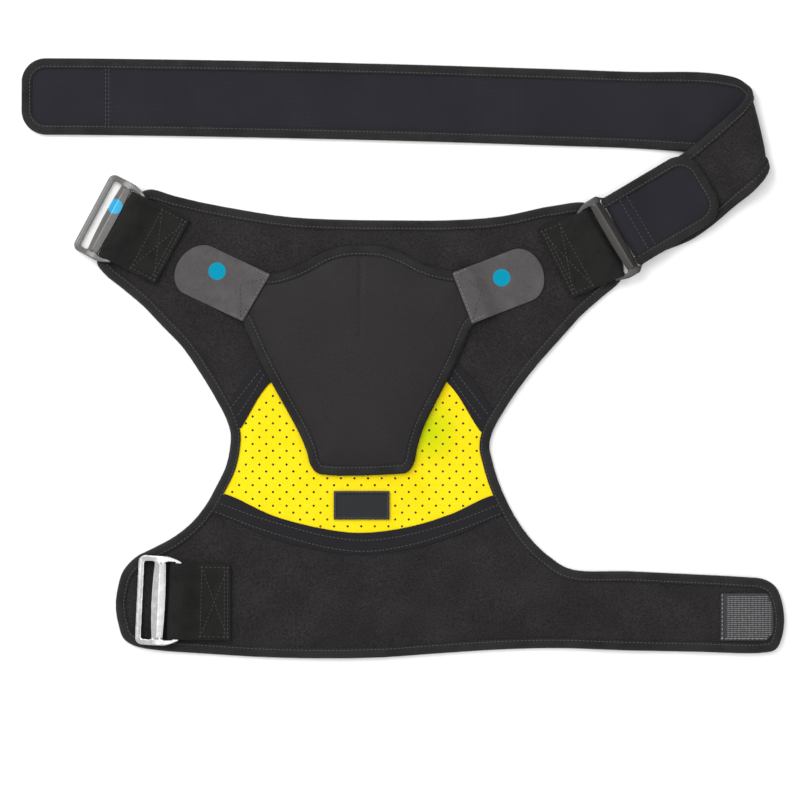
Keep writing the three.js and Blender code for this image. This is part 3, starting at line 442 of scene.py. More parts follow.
class Look:
    """A material built up node by node."""

    def __init__(self, name, colour, roughness, metallic=0.0, sheen=0.0, specular=0.5, coat=0.0):
        self.material = bpy.data.materials.new(name)
        self.material.use_nodes = True
        self.tree = self.material.node_tree
        self.shader = self.tree.nodes["Principled BSDF"].inputs
        self.colour = (*linear(colour), 1)
        values = {
            "Base Color": self.colour, "Roughness": roughness, "Metallic": metallic,
            "Sheen Weight": sheen, "Sheen Roughness": 0.5, "Specular IOR Level": specular,
            "Coat Weight": coat, "Coat Roughness": 0.12,
        }
        for key, value in values.items():
            self.shader[key].default_value = value

    def put(self, socket, value):
        """Links an output to a socket, or sets the socket's own value."""
        if isinstance(value, bpy.types.NodeSocket):
            self.tree.links.new(value, socket)
        else:
            socket.default_value = value

    def node(self, kind, settings=None, **inputs):
        made = self.tree.nodes.new(kind)
        for key, value in (settings or {}).items():
            setattr(made, key, value)
        for key, value in inputs.items():
            self.put(made.inputs[key.replace("_", " ")], value)
        return made

    def place(self, kind="Object"):
        return self.node("ShaderNodeTexCoord").outputs[kind]

    def noise(self, size, detail=3.0, rough=0.55):
        """Noise with features of this size in metres."""
        made = self.node("ShaderNodeTexNoise", Vector=self.place(), Scale=1 / size, Detail=detail,
                         Roughness=rough)
        return made.outputs[0]

    def ribs(self, pitch, direction):
        """Even ribs, a pitch apart in metres."""
        settings = {"bands_direction": direction, "wave_profile": "SIN"}
        made = self.node("ShaderNodeTexWave", settings, Vector=self.place("UV"),
                         Scale=math.pi / 10 / pitch)
        return made.outputs[1]

    def knit(self, along, across):
        """A grid of small bumps, with its pitch along the piece and across it."""
        made = self.node("ShaderNodeMath", {"operation": "MULTIPLY"})
        self.put(made.inputs[0], self.ribs(along, "X"))
        self.put(made.inputs[1], self.ribs(across, "Y"))
        return made.outputs[0]

    def span(self, factor, **ends):
        """A factor brought to another range."""
        return self.node("ShaderNodeMapRange", {"clamp": True}, Value=factor, **ends).outputs[0]

    def away(self, where, middle):
        """How far a place is from this middle."""
        made = self.node("ShaderNodeVectorMath", {"operation": "DISTANCE"})
        self.put(made.inputs[0], where)
        self.put(made.inputs[1], middle)
        return made.outputs["Value"]

    def tint(self, factor, colour, low=0.0, high=1.0):
        """Turns towards another colour where the factor rises from low to high."""
        mix = self.node("ShaderNodeMix", {"data_type": "RGBA"})
        self.put(mix.inputs[MIX_SHARE], self.span(factor, From_Min=low, From_Max=high))
        self.put(mix.inputs[MIX_FROM], self.colour)
        self.put(mix.inputs[MIX_TO], (*linear(colour), 1))
        self.colour = mix.outputs[MIX_RESULT]
        self.put(self.shader["Base Color"], self.colour)
        return self

    def bump(self, height, depth, strength):
        made = self.node("ShaderNodeBump", Height=height, Distance=depth, Strength=strength)
        self.put(self.shader["Normal"], made.outputs[0])
        return self

    def rough(self, factor, low, high):
        self.put(self.shader["Roughness"], self.span(factor, To_Min=low, To_Max=high))

    def fade(self, middle, outer, inner, colour):
        """Turns softly towards a colour round a place: painted light or shade."""
        self.tint(self.away(self.place(), (*middle, PANEL_TOP)), colour, outer, inner)

    def spot(self, middle, radius, colour):
        """A printed round spot."""
        flat = self.node("ShaderNodeMapping", Vector=self.place(), Scale=(1, 1, 0))
        gap = self.away(flat.outputs[0], (*middle, 0))
        self.tint(gap, colour, radius * (1 + SPOT_BLUR), radius * (1 - SPOT_BLUR))


def cloth_look():
    look = Look("loop_cloth", (38, 36, 37), 0.95, sheen=0.04, specular=0.1)
    pile = look.noise(1.1 * MM, 4, 0.7)
    look.tint(look.noise(26 * MM, 3), (46, 44, 45), 0.35, 0.7)
    look.tint(pile, (20, 19, 19), 0.55, 0.3)
    look.tint(pile, (66, 64, 65), 0.6, 0.78)
    return look.bump(pile, 0.5 * MM, 0.8).material


def tape_look():
    look = Look("binding_tape", (36, 35, 35), 0.85, sheen=0.04, specular=0.14)
    knit = look.knit(1.3 * MM, 1.0 * MM)
    look.tint(knit, (56, 55, 55), 0.2, 0.95)
    look.tint(look.noise(18 * MM), (27, 27, 27), 0.4, 0.75)
    return look.bump(knit, 0.35 * MM, 0.8).material


def seam_look():
    look = Look("seam_tape", (31, 30, 33), 0.85, sheen=0.03, specular=0.1)
    knit = look.knit(1.3 * MM, 1.0 * MM)
    look.tint(knit, (45, 44, 48), 0.3, 0.95)
    return look.bump(knit, 0.35 * MM, 0.8).material


def lining_look():
    look = Look("strap_lining", (39, 38, 44), 0.8, sheen=0.04, specular=0.1)
    knit = look.knit(1.1 * MM, 0.9 * MM)
    look.tint(look.noise(45 * MM, 2), (50, 49, 55), 0.35, 0.7)
    look.tint(knit, (30, 29, 35), 0.7, 0.1)
    return look.bump(knit, 0.2 * MM, 0.6).material


def shield_look():
    look = Look("shield_cloth", (38, 36, 37), 0.5, sheen=0.02, specular=0.1)
    grain = look.noise(0.7 * MM, 2)
    look.tint(grain, (30, 28, 29), 0.6, 0.35)
    look.rough(look.noise(30 * MM), 0.42, 0.58)
    return look.bump(grain, 0.08 * MM, 0.6).material


def yellow_look():
    look = Look("yellow_cloth", (236, 212, 20), 0.75, specular=0.1)
    knit = look.noise(0.9 * MM, 3)
    look.tint(look.noise(24 * MM, 2), (231, 206, 10), 0.4, 0.7)
    look.tint(knit, (214, 188, 0), 0.5, 0.2)
    # Painted light: round one place on the panel's right the yellow turns greener, a tint of the light
    # that falls there
    look.fade(photo_point(426, 430), 30 * MM, 4 * MM, (186, 200, 0))
    return look.bump(knit, 0.2 * MM, 0.7).material


# The holes' walls: the foam's own darker colour, deepened with painted shade inside the holes
def foam_and_shade_look():
    look = Look("vent_hole", (60, 56, 8), 0.95, specular=0.1)
    look.tint(look.noise(0.4 * MM, 2), (34, 32, 6), 0.4, 0.7)
    return look.material


def tab_look(name, dot):
    look = Look(name, (77, 75, 75), 0.9, sheen=0.06, specular=0.1)
    nap = look.noise(1.4 * MM, 4, 0.65)
    look.tint(nap, (63, 61, 61), 0.5, 0.25)
    look.tint(look.noise(12 * MM, 2), (84, 82, 82), 0.45, 0.75)
    look.spot(dot, DOT_RADIUS, (0, 134, 164))
    return look.bump(nap, 0.2 * MM, 0.6).material


def rubber_look(name, colour):
    look = Look(name, colour, 0.5, specular=0.2)
    grain = look.noise(0.8 * MM, 2)
    look.rough(look.noise(6 * MM), 0.38, 0.55)
    return look.bump(grain, 0.05 * MM, 0.5).material


def webbing_look():
    look = Look("webbing", (25, 25, 24), 0.75, sheen=0.02, specular=0.12)
    weave = look.knit(0.9 * MM, RIB_PITCH)
    look.tint(weave, (42, 42, 41), 0.3, 0.95)
    look.tint(look.noise(10 * MM), (20, 20, 20), 0.45, 0.75)
    return look.bump(weave, 0.25 * MM, 0.8).material


def hook_ground_look():
    look = Look("hook_ground", (56, 56, 58), 0.8, specular=0.1)
    weave = look.noise(0.8 * MM, 3, 0.7)
    look.tint(weave, (62, 62, 64), 0.5, 0.75)
    return look.bump(weave, 0.1 * MM, 0.8).material


def hook_look():
    look = Look("hook_patch", (100, 100, 102), 0.6, specular=0.15)
    # Painted light: the hook patch turns lighter round one place near its right end
    look.fade(photo_point(745, 620), 40 * MM, 6 * MM, (126, 125, 126))
    hooks = look.noise(0.8 * MM, 3, 0.7)
    look.tint(hooks, (66, 66, 68), 0.55, 0.3)
    look.tint(hooks, (158, 158, 160), 0.64, 0.84)
    return look.bump(hooks, 0.3 * MM, 0.8).material


def thread_look(name, colour):
    look = Look(name, colour, 0.6, sheen=0.05)
    twist = look.noise(0.5 * MM, 2)
    shade = tuple(round(c * 0.8) for c in colour)
    return look.tint(twist, shade, 0.55, 0.35).bump(twist, 0.1 * MM, 0.6).material


def buckle_look(name, colour, roughness, metallic, spot=None):
    look = Look(name, colour, roughness, metallic, coat=0.4)
    wear = look.noise(5 * MM, 3)
    pale = tuple(min(255, round(c * 1.12)) for c in colour)
    look.tint(wear, pale, 0.45, 0.75)
    look.rough(look.noise(2 * MM, 3), roughness * 0.8, roughness * 1.3)
    if spot:
        look.spot(*spot)
    return look.bump(look.noise(3 * MM, 2), 0.03 * MM, 0.5).material


LOOKS = {
    "cloth": cloth_look(),
    "tape": tape_look(),
    "seam": seam_look(),
    "lining": lining_look(),
    "shield": shield_look(),
    "yellow": yellow_look(),
    # Lit and shaded copies of the label's one rubber: painted light on its rim and sides, painted shade in
    # its recess
    "rubber": rubber_look("label_rubber", (42, 44, 50)),
    "shaded_recess": rubber_look("label_recess_shaded", (23, 24, 28)),
    "webbing": webbing_look(),
    "hook": hook_look(),
    "hook_ground": hook_ground_look(),
    "thread": thread_look("dark_thread", (64, 64, 62)),
    "webbing_thread": thread_look("webbing_thread", (50, 50, 48)),
    "black_thread": thread_look("black_thread", (26, 25, 27)),
    "tab_thread": thread_look("grey_thread", (112, 111, 111)),
    "pale_thread": thread_look("pale_thread", (150, 150, 148)),
    "foam": foam_and_shade_look(),
}


def finish_piece(piece, looks, nodes=()):
    """Gives a piece its materials, its body and the solids it stands for."""
    for look in looks if isinstance(looks, (list, tuple)) else [looks]:
        piece.data.materials.append(LOOKS[look] if isinstance(look, str) else look)
    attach(piece, "root")
    if nodes:
        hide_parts(*nodes)
    return piece


# Heights that everything on the body shares

edge_loops = level_loops("edge_binding", EDGE_TOP)
OUTER, WINDOW = edge_loops[0], edge_loops[1]
shield_loops = level_loops("shield_binding", SHIELD_LEG_TOP)
SHIELD_OUTER, SHIELD_WINDOW = shield_loops[0], shield_loops[1]
PUFF = 0.8 * MM
PUFF_REACH = 9 * MM
SAG_SIZE = 75 * MM
SAG = 1.3 * MM
QUIET = 60 * MM

# Two sizes of wave, as shares of SAG_SIZE and of SAG, with the noise layer that each is read from
SAG_WAVES = ((1.0, 1.0, 3.7), (0.42, 0.4, 8.1))
SAG_LIFT = 0.45
PUFF_POWER = 1.3


def place_xy(place):
    return CORNER + np.array([place["x"] * BODY_WIDTH, place["y"] * BODY_HEIGHT])


def sag(points):
    """The gentle waves of a cloth that lies on a table, none near the buckles."""
    calm = np.ones(len(points))
    for place in PLACES.values():
        away = np.hypot(*(points[:, :2] - place_xy(place)).T)
        calm *= smooth_step((away - QUIET / 2) / QUIET)
    wave = sum(ripple(points, SAG_SIZE * size, height, layer) for size, height, layer in SAG_WAVES)
    return np.maximum(wave + SAG_LIFT, 0) * SAG * calm


def puff(points):
    """How far the foam swells inside the binding."""
    gap, _ = distance_to(points, WINDOW)
    gap = np.where(inside(points, [WINDOW]), gap, 0)
    return PUFF * (1 - np.exp(-((gap / PUFF_REACH) ** PUFF_POWER)))


def on_body(points):
    return sag(points) + puff(points)


def lying_at(height, shape=on_body):
    """The height of a layer that follows the cloth below it."""
    return lambda points: shape(points) + height


def edge_dip(gap, depth, reach):
    """How much lower a layer is this far from its rounded edge or groove."""
    return depth * np.exp(-((gap / reach) ** 2))


# Binding tapes folded over an edge


TAPE_PITCH = 1.1 * MM
TAPE_UNDER_PITCH = 2.6 * MM
POCKET_PITCH = 3 * MM
TAPE_ROUND = 2.4 * MM
TAPE_SWELL = 0.25 * MM
LEG_THINS = 1.2 * MM
LEG_DROP = 0.3 * MM


def tape_skin(gap):
    """How far a tape's skin lies out from its leg: down at the stitches and the leg's end."""
    sink = edge_dip(gap - STITCH_IN, 0.35 * MM, 0.8 * MM)
    sink += LEG_DROP * smooth_step((gap - LEG + LEG_THINS) / LEG_THINS)
    return sink, TAPE_SWELL * np.sin(np.clip(gap / STITCH_IN, 0, 1) * math.pi)


def tape_ring(name, node, levels, lift):
    """A tape folded round a closed edge: outer skins, a pocket for the cloth, and the legs' ends."""
    low, pocket_low, pocket_top, top = levels
    outer, window = (resample(loop, TAPE_PITCH) for loop in level_loops(node, top)[:2])
    pocket = resample(level_loops(node, pocket_low)[0], TAPE_PITCH)
    middle = (low + top) / 2
    outer_length = np.hypot(*(np.roll(outer, -1, 0) - outer).T).sum()
    vertices, faces, uv = [], [], []

    def add(points, heights, tris, across):
        _, along = distance_to(points, outer)
        first = sum(len(v) for v in vertices)
        vertices.append(np.column_stack([points, heights + lift(points)]))
        uv.append(np.column_stack([along, across]))
        faces.extend(tuple(i + first for i in face) for face in tris)

    for surface, step in ((top, TAPE_PITCH), (low, TAPE_UNDER_PITCH)):
        flat, tris = triangulate([outer, window], step)
        gap, _ = distance_to(flat, outer)
        round_off = np.sqrt(1 - (1 - np.clip(gap / TAPE_ROUND, 0, 1)) ** 2)
        sink, swell = tape_skin(gap)
        skin = swell - sink if surface == top else sink
        height = middle + (surface - middle) * round_off + skin
        add(flat, height, tris if surface == top else tris[:, ::-1], gap)
    inner, tris = triangulate([pocket, window], POCKET_PITCH)
    for surface in (pocket_top, pocket_low):
        add(inner, np.full(len(inner), surface), tris[:, ::-1] if surface == pocket_top else tris,
            np.zeros(len(inner)))
    for ring, start, end in ((window, pocket_top, top - LEG_DROP), (window, low + LEG_DROP, pocket_low),
                             (pocket, pocket_low, pocket_top)):
        count = len(ring)
        heights = np.repeat([start, end], count)
        walls = [(k, (k + 1) % count, (k + 1) % count + count, k + count) for k in range(count)]
        add(np.vstack([ring, ring]), heights, walls, np.full(2 * count, LEG))
    piece = make_object(name, np.vstack(vertices), faces, np.vstack(uv), outer_length, weld=True)
    finish_piece(piece, "tape", [node])
    return piece, outer_length


STITCH_IN = 5.7 * MM
STITCH_PITCH = 2.7 * MM
STITCH_HALF = 0.95 * MM
STITCH_RADIUS = 0.3 * MM
STITCH_SUNK = 0.2 * MM
STITCH_PROUD = 0.1 * MM


def neighbours(points, closed):
    """The points ahead and behind, and at an open line's ends the point itself."""
    ahead, behind = np.roll(points, -1, 0), np.roll(points, 1, 0)
    if not closed:
        ahead[-1], behind[0] = points[-1], points[0]
    return ahead, behind


def stitch_row(name, lines, height, look="thread", closed=False):
    """Stitches along flat lines, on the height of what they are sewn through."""
    centres, directions = [], []
    for line in lines:
        points = resample(line, STITCH_PITCH, closed)
        ahead, behind = neighbours(points, closed)
        centres.append(points)
        directions.append(ahead - behind)
    flat = np.vstack(centres)
    run = np.vstack(directions)
    z = height(flat)
    rise = height(flat + run * 0.5) - height(flat - run * 0.5)
    count = len(flat)
    piece = threads(name, np.column_stack([flat, z]), np.column_stack([run, rise]),
                    np.tile([0, 0, 1.0], (count, 1)), STITCH_HALF, STITCH_RADIUS)
    return finish_piece(piece, look)


EDGE_LEVELS = (0, 1 * MM, 4.6 * MM, EDGE_TOP)
SHIELD_LEVELS = (LAYER_LOW, EDGE_TOP, 8.6 * MM, SHIELD_LEG_TOP)
ROW_PITCH = 1.5 * MM

edge_tape, edge_length = tape_ring("edge_tape", "edge_binding", EDGE_LEVELS, sag)
edge_row = inset_line(OUTER, STITCH_IN, ROW_PITCH)
edge_stitches = stitch_row("edge_stitches", [edge_row],
                           lying_at(EDGE_TOP - STITCH_SUNK, sag), closed=True)

# Panels of the body


panel_top = lying_at(PANEL_TOP)
panel_bottom = lying_at(PANEL_LOW, sag)
layer_bottom = lying_at(LAYER_LOW)


PANEL_PITCH = 2.2 * MM
for panel, node in (("yoke_cloth", "yoke_panel"), ("band_cloth", "lower_band")):
    rim = resample(level_loops(node, PANEL_LOW)[0], PANEL_PITCH)
    piece = slab(panel, [rim], PANEL_PITCH, panel_top, panel_bottom)
    finish_piece(piece, "cloth", [node])

# The yellow panel, with its real rows of holes
HOLE_RADIUS = 0.88 * MM
HOLE_PITCH = 9.5 * MM
HOLE_ROW = 4.8 * MM
HOLE_SIDES = 8


def vent_holes(panel):
    """Rows of holes, staggered, where the yellow cloth shows."""
    low, high = panel.min(0), panel.max(0)
    centres = []
    for row, y in enumerate(np.arange(low[1], high[1], HOLE_ROW)):
        shift = (row % 2) * HOLE_PITCH / 2
        centres += [(x, y) for x in np.arange(low[0] + shift, high[0], HOLE_PITCH)]
    centres = np.array(centres)
    keep = inside(centres, [panel]) & inside(centres, [WINDOW])
    covers = [SHIELD_OUTER, level_loops("label_patch", LAYER_LOW)[0]]
    for side in ("left", "right", "lower"):
        covers.append(level_loops("seam_tape_" + side, LAYER_LOW)[0])
    for cover in covers:
        keep &= ~inside(centres, [cover])
    for line in (panel, WINDOW, *covers):
        keep &= distance_to(centres, line)[0] > 1.6 * HOLE_RADIUS
    swings = np.linspace(0, 2 * math.pi, HOLE_SIDES, endpoint=False)
    ring = HOLE_RADIUS * np.column_stack([np.cos(swings), np.sin(swings)])
    return [centre + ring for centre in centres[keep]]


vent_loop = resample(level_loops("vent_panel", PANEL_LOW)[0], 2 * MM)
vent = slab("vent_cloth", [vent_loop, *vent_holes(vent_loop)], 2 * MM, panel_top, panel_bottom)
# The holes' walls get the dark foam material, which carries painted shade
for face in vent.data.polygons:
    walls = abs(face.normal.z) < 0.3
    corners = [vent.data.vertices[i].co for i in face.vertices]
    if walls and distance_to(np.array([[corners[0].x, corners[0].y]]), vent_loop)[0][0] > HOLE_RADIUS:
        face.material_index = 1
finish_piece(vent, ["yellow", "foam"], ["vent_panel"])

# Tapes over the seams
SEAM_ROWS = {
    "left": [[(231, 408), (246, 389), (260, 371)], [(239, 414), (252, 395), (264, 375)]],
    "right": [[(454.5, 371), (471, 392), (487, 413)], [(449, 375), (465, 398), (480, 418)]],
    "lower": [
        [(222, 504), (258, 517), (295, 528), (330, 536.5), (364, 540), (400, 536), (450, 523), (497, 505)],
        [(217, 512), (256, 527), (295, 539), (332, 548), (366, 551), (404, 546), (452, 532), (499, 514)],
    ],
}


SEAM_SPREAD = 0.35 * MM
SEAM_PITCH = 1.6 * MM
seam_top = lying_at(EDGE_TOP)


def seam_tape(side, rows):
    """A tape over a joint between two panels, with its two rows of stitches."""
    rim = inset_line(level_loops("seam_tape_" + side, LAYER_LOW)[0], -SEAM_SPREAD, SEAM_PITCH)

    def tape_top(points):
        return seam_top(points) - edge_dip(distance_to(points, rim)[0], 0.4 * MM, 0.8 * MM)

    tape = slab("seam_cloth_" + side, [rim], SEAM_PITCH, tape_top, layer_bottom, uv=lambda p: p)
    finish_piece(tape, "seam", ["seam_tape_" + side])
    row = stitch_row("seam_stitches_" + side, [catmull_rom(from_photo(r), 8) for r in rows],
                     lying_at(EDGE_TOP + STITCH_PROUD))


for side, rows in SEAM_ROWS.items():
    seam_tape(side, rows)

# Shield
DART = from_photo([(361, 251), (361, 294), (361, 337)])
DART_DEPTH = 0.75 * MM
DART_WIDTH = 0.9 * MM
DOME_REACH = 34 * MM
DOME_POWER = 2.6


def shield_top(points):
    """The padded shield's crown, with the groove of its dart."""
    gap, _ = distance_to(points, SHIELD_WINDOW)
    gap = np.where(inside(points, [SHIELD_WINDOW]), gap, 0)
    rise = 1 - (1 - np.clip(gap / DOME_REACH, 0, 1)) ** DOME_POWER
    seam, _ = distance_to(points, DART, closed=False)
    groove = edge_dip(seam, DART_DEPTH, DART_WIDTH) * smooth_step(gap / (2 * MM))
    uneven = ripple(points, 38 * MM, 0.35 * MM, 5.2) * smooth_step(gap / (10 * MM))
    return SHIELD_TOP + SHIELD_CROWN * rise - groove + uneven + on_body(points)


shield_tape, shield_length = tape_ring("shield_tape", "shield_binding", SHIELD_LEVELS, on_body)
shield_row = inset_line(SHIELD_OUTER, STITCH_IN, ROW_PITCH)
shield_stitches = stitch_row("shield_stitches", [shield_row],
                             lying_at(SHIELD_LEG_TOP - STITCH_SUNK), closed=True)
dart_stitches = stitch_row("dart_stitches", [DART], lying_at(STITCH_PROUD, shield_top),
                           "black_thread")
pad_loop = resample(level_loops("shield_panel", SHIELD_LOW)[0], 2 * MM)
shield_pad = slab("shield_pad", [pad_loop], 2 * MM, shield_top, lying_at(SHIELD_LOW))
finish_piece(shield_pad, "shield", ["shield_panel"])

# Grey tabs


def tab_outline(length, half):
    """A straight end and a round one, along x."""
    swings = np.linspace(-math.pi / 2, math.pi / 2, 25)
    arc = np.column_stack([length - TAB_CAP + TAB_CAP * np.cos(swings), half * np.sin(swings)])
    return np.vstack([[(0, -half)], arc, [(0, half)]])


def turned(points, angle):
    c, s = math.cos(angle), math.sin(angle)
    return points @ np.array([[c, s], [-s, c]])


ON_SHIELD = SHIELD_LEG_TOP + CLEAR
STEP_LENGTH = TAB_STEP * (SHIELD_LEG_TOP - LAYER_LOW)
TAB_PITCH = 1.5 * MM
TAB_PROUD = 0.05 * MM

# Stitches along a tab's straight end and a little way down its sides, in mm along and across
TAB_ROWS = ([(1.4, -18), (1.4, 18)], [(1.4, -17.2), (9, -16.8)], [(1.4, 17.4), (9, 17.9)])


def grey_tab(side, tab):
    """A tab from the shield's corner down to the yoke, with its printed dot and its seams."""
    angle = math.radians(tab["turn"])
    origin = place_xy(tab)

    def tab_low(points):
        along = turned(points - origin, -angle)[:, 0]
        down = smooth_step((along - TAB_LAP) / STEP_LENGTH)
        return ON_SHIELD + (LAYER_LOW - ON_SHIELD) * down + on_body(points)

    outline = tab_outline(TAB_LENGTH, TAB_WIDTH / 2)
    outline[:, 1] += outline[:, 0] * math.tan(math.radians(tab["lean"]))
    outline = resample(turned(outline, angle) + origin, TAB_PITCH)

    def tab_top(points):
        dip = edge_dip(distance_to(points, outline)[0], 0.35 * MM, 0.7 * MM)
        return tab_low(points) + TAB_THICK - dip

    piece = slab("grey_tab_" + side, [outline], TAB_PITCH, tab_top, tab_low)
    look = tab_look("grey_tab_" + side, photo_point(*tab["dot"]))
    finish_piece(piece, look, ["tab_" + side])
    rows = [turned(np.array(line) * MM, angle) + origin for line in TAB_ROWS]
    on_tab = lying_at(TAB_THICK + TAB_PROUD, tab_low)
    row = stitch_row("tab_stitches_" + side, rows, on_tab, "tab_thread")
    seam = stitch_row("tab_seam_" + side, [from_photo(line) for line in tab["seam"]], on_tab,
                      "webbing_thread")


for side, tab in TABS.items():
    grey_tab(side, tab)

# Patches
LABEL_RIM = 1.6 * MM
LABEL_THICK = 1.4 * MM
LABEL_PITCH = 0.7 * MM
label_loop = resample(level_loops("label_patch", LAYER_LOW)[0], LABEL_PITCH)


def label_top(points):
    gap, _ = distance_to(points, label_loop)
    rim = 0.5 * MM * (1 - smooth_step((gap - LABEL_RIM) / (0.5 * MM)))
    return LAYER_LOW + LABEL_THICK + rim - edge_dip(gap, 0.35 * MM, 0.45 * MM) + on_body(points)


label = slab("rubber_label", [label_loop], LABEL_PITCH, label_top, layer_bottom)
# Painted shade: the faces inside the rim get the darker copy of the rubber, and the rim the lighter one
for face in label.data.polygons:
    middle = np.array([face.center[:2]])
    if face.normal.z > 0.5 and distance_to(middle, label_loop)[0][0] > LABEL_RIM:
        face.material_index = 1
finish_piece(label, ["rubber", "shaded_recess"], ["label_patch"])

HOOK_PITCH = 1.4 * MM
HOOK_CELL = 2.4 * MM
HOOK_HALF = 1.22 * MM
HOOK_RADIUS = 0.42 * MM
HOOK_START = 4.4 * MM
HOOK_TOP = LAYER_LOW + 1.0 * MM
hook_loop = resample(level_loops("band_hook_patch", LAYER_LOW)[0], 1.2 * MM)
patch_low, patch_high = hook_loop.min(0), hook_loop.max(0)
hook_patch = slab("hook_tape", [hook_loop], 1.6 * MM, lying_at(HOOK_TOP), layer_bottom)
finish_piece(hook_patch, "hook_ground", ["band_hook_patch"])


def hook_rows():
    """Short ridges of hooks in rows along the band."""
    xs = np.arange(patch_low[0] + HOOK_START + HOOK_CELL / 2, patch_high[0], HOOK_CELL)
    ys = np.arange(patch_low[1] + HOOK_PITCH, patch_high[1] - HOOK_PITCH / 2, HOOK_PITCH)
    grid = np.array([(x, y) for y in ys for x in xs])
    grid = grid[inside(grid, [hook_loop]) & (distance_to(grid, hook_loop)[0] > 1 * MM)]
    centres = np.column_stack([grid, HOOK_TOP + 0.15 * MM + on_body(grid)])
    count = len(grid)
    return threads("hook_rows", centres, np.tile([1.0, 0, 0], (count, 1)),
                   np.tile([0, 0, 1.0], (count, 1)), HOOK_HALF, HOOK_RADIUS)


rows = finish_piece(hook_rows(), "hook")

# Stitches along the hook patch's lower side and its straight end
side_x, side_y = patch_low[0] + 1 * MM, patch_low[1] + 1.3 * MM
patch_lines = [[(side_x, side_y), (patch_high[0] - 5.5 * MM, side_y)],
               [(side_x, patch_low[1] + 2 * MM), (side_x, patch_high[1] - 1.5 * MM)]]
patch_row = stitch_row("hook_stitches", patch_lines, lying_at(HOOK_TOP + 0.55 * MM),
                       "pale_thread")

# Buckle frames, as in the solids
BUCKLE_LENGTH = 2 * END_BAR + REAR_SLOT + MID_BAR + FRONT_SLOT
FRONT_REACH = BUCKLE_LENGTH - END_BAR
LOOP_MIDDLE = WEBBING_LOW + WEBBING_THICK + LOOP_HEIGHT / 2
BAR_HEIGHT = BUCKLE_THICK + BUCKLE_BOW * math.sin(math.pi * END_BAR / BUCKLE_LENGTH) ** 2


def buckle_frame(place):
    sewn, turn = math.radians(place["sewn"]), math.radians(place["turn"])
    heading = math.radians(place["heading"])
    end = np.array([*place_xy(place), 0])
    bar = end + place["reach"] * np.array([math.cos(heading), math.sin(heading), 0])
    bar[2] = LOOP_MIDDLE
    down, ahead = BAR_HEIGHT / 2, FRONT_REACH + END_BAR / 2
    swing = math.asin((LOOP_MIDDLE - place["rest"]) / math.hypot(down, ahead))
    return {"sewn": sewn, "turn": turn, "end": end, "bar": bar, "dip": swing - math.atan2(down, ahead)}


def on_buckle(place, out):
    """A point in the line of the buckle's middle, out from the rear bar."""
    x, z = out * math.cos(place["dip"]), -out * math.sin(place["dip"])
    return place["bar"] + np.array([x * math.cos(place["turn"]), x * math.sin(place["turn"]), z])


FRAMES = {side: buckle_frame(place) for side, place in PLACES.items()}


# Webbing loops


WEB_COLUMNS = 125
WEB_STEP = 0.9 * MM
RIB_HEIGHT = 0.13 * MM
EDGE_POWER = 14
EDGE_LEAST = 0.12
BOX_EDGE = 2.4 * MM
BOX_NEAR = 1.8 * MM


def webbing_turn(made, share):
    """The way across the webbing, which turns from its sewn end to its buckle."""
    return made["sewn"] + (made["turn"] - made["sewn"]) * smooth_step(share) + math.pi / 2


def webbing_piece(side):
    """Ribbed webbing: out from the body, round the rear bar and back on itself."""
    place, made = PLACES[side], FRAMES[side]
    reach = place["reach"]
    low = WEBBING_LOW + WEBBING_THICK / 2
    back = low + WEBBING_THICK + CLEAR
    offset = (LOOP_HEIGHT + WEBBING_THICK) / 2
    path = [(0, low), (reach / 2, low), (reach, low)]
    for swing in np.linspace(-math.pi / 2, math.pi / 2, 9):
        path.append((reach + LOOP_HEIGHT * place["fold"] + offset * math.cos(swing),
                     LOOP_MIDDLE + offset * math.sin(swing)))
    top = LOOP_MIDDLE + offset
    path += [(reach - LOOP_HEIGHT * b, top + (back - top) * d) for b, d in WEBBING_DESCENT]
    path.append((0, back))
    line = resample(catmull_rom(np.array(path), 6), WEB_STEP, closed=False)
    run = np.gradient(line, axis=0)
    run /= np.hypot(run[:, 0], run[:, 1])[:, None]
    out = made["bar"] - made["end"]
    out[2] = 0
    length = np.linalg.norm(out)
    out /= length
    turn = webbing_turn(made, line[:, 0] / length)
    across = np.column_stack([np.cos(turn), np.sin(turn), np.zeros(len(turn))])
    middle = made["end"] + line[:, :1] * out + line[:, 1:] * UP
    normal = -run[:, 1:] * out + run[:, :1] * UP
    columns = np.linspace(-1, 1, WEB_COLUMNS)
    width = place["webbing"] / 2 * columns
    ribs = RIB_HEIGHT * np.cos(2 * math.pi * width / RIB_PITCH) - 0.1 * MM
    rounding = np.sqrt(np.clip(1 - np.abs(columns) ** EDGE_POWER, EDGE_LEAST, 1))
    half = WEBBING_THICK / 2 * rounding + ribs
    along = np.concatenate([[0], np.cumsum(np.hypot(*np.diff(line, axis=0).T))])

    spread = np.concatenate([width, width[::-1]])
    rise = np.concatenate([-half, half[::-1]])
    sections = (middle[:, None] + spread[None, :, None] * across[:, None]
                + rise[None, :, None] * normal[:, None])
    uv = np.stack(np.broadcast_arrays(along[:, None], spread[None, :]), -1)
    piece = loft("webbing_loop_" + side, sections, uv)
    finish_piece(piece, "webbing", ["webbing_" + side])
    return piece, float(along[-1]), back + WEBBING_THICK / 2


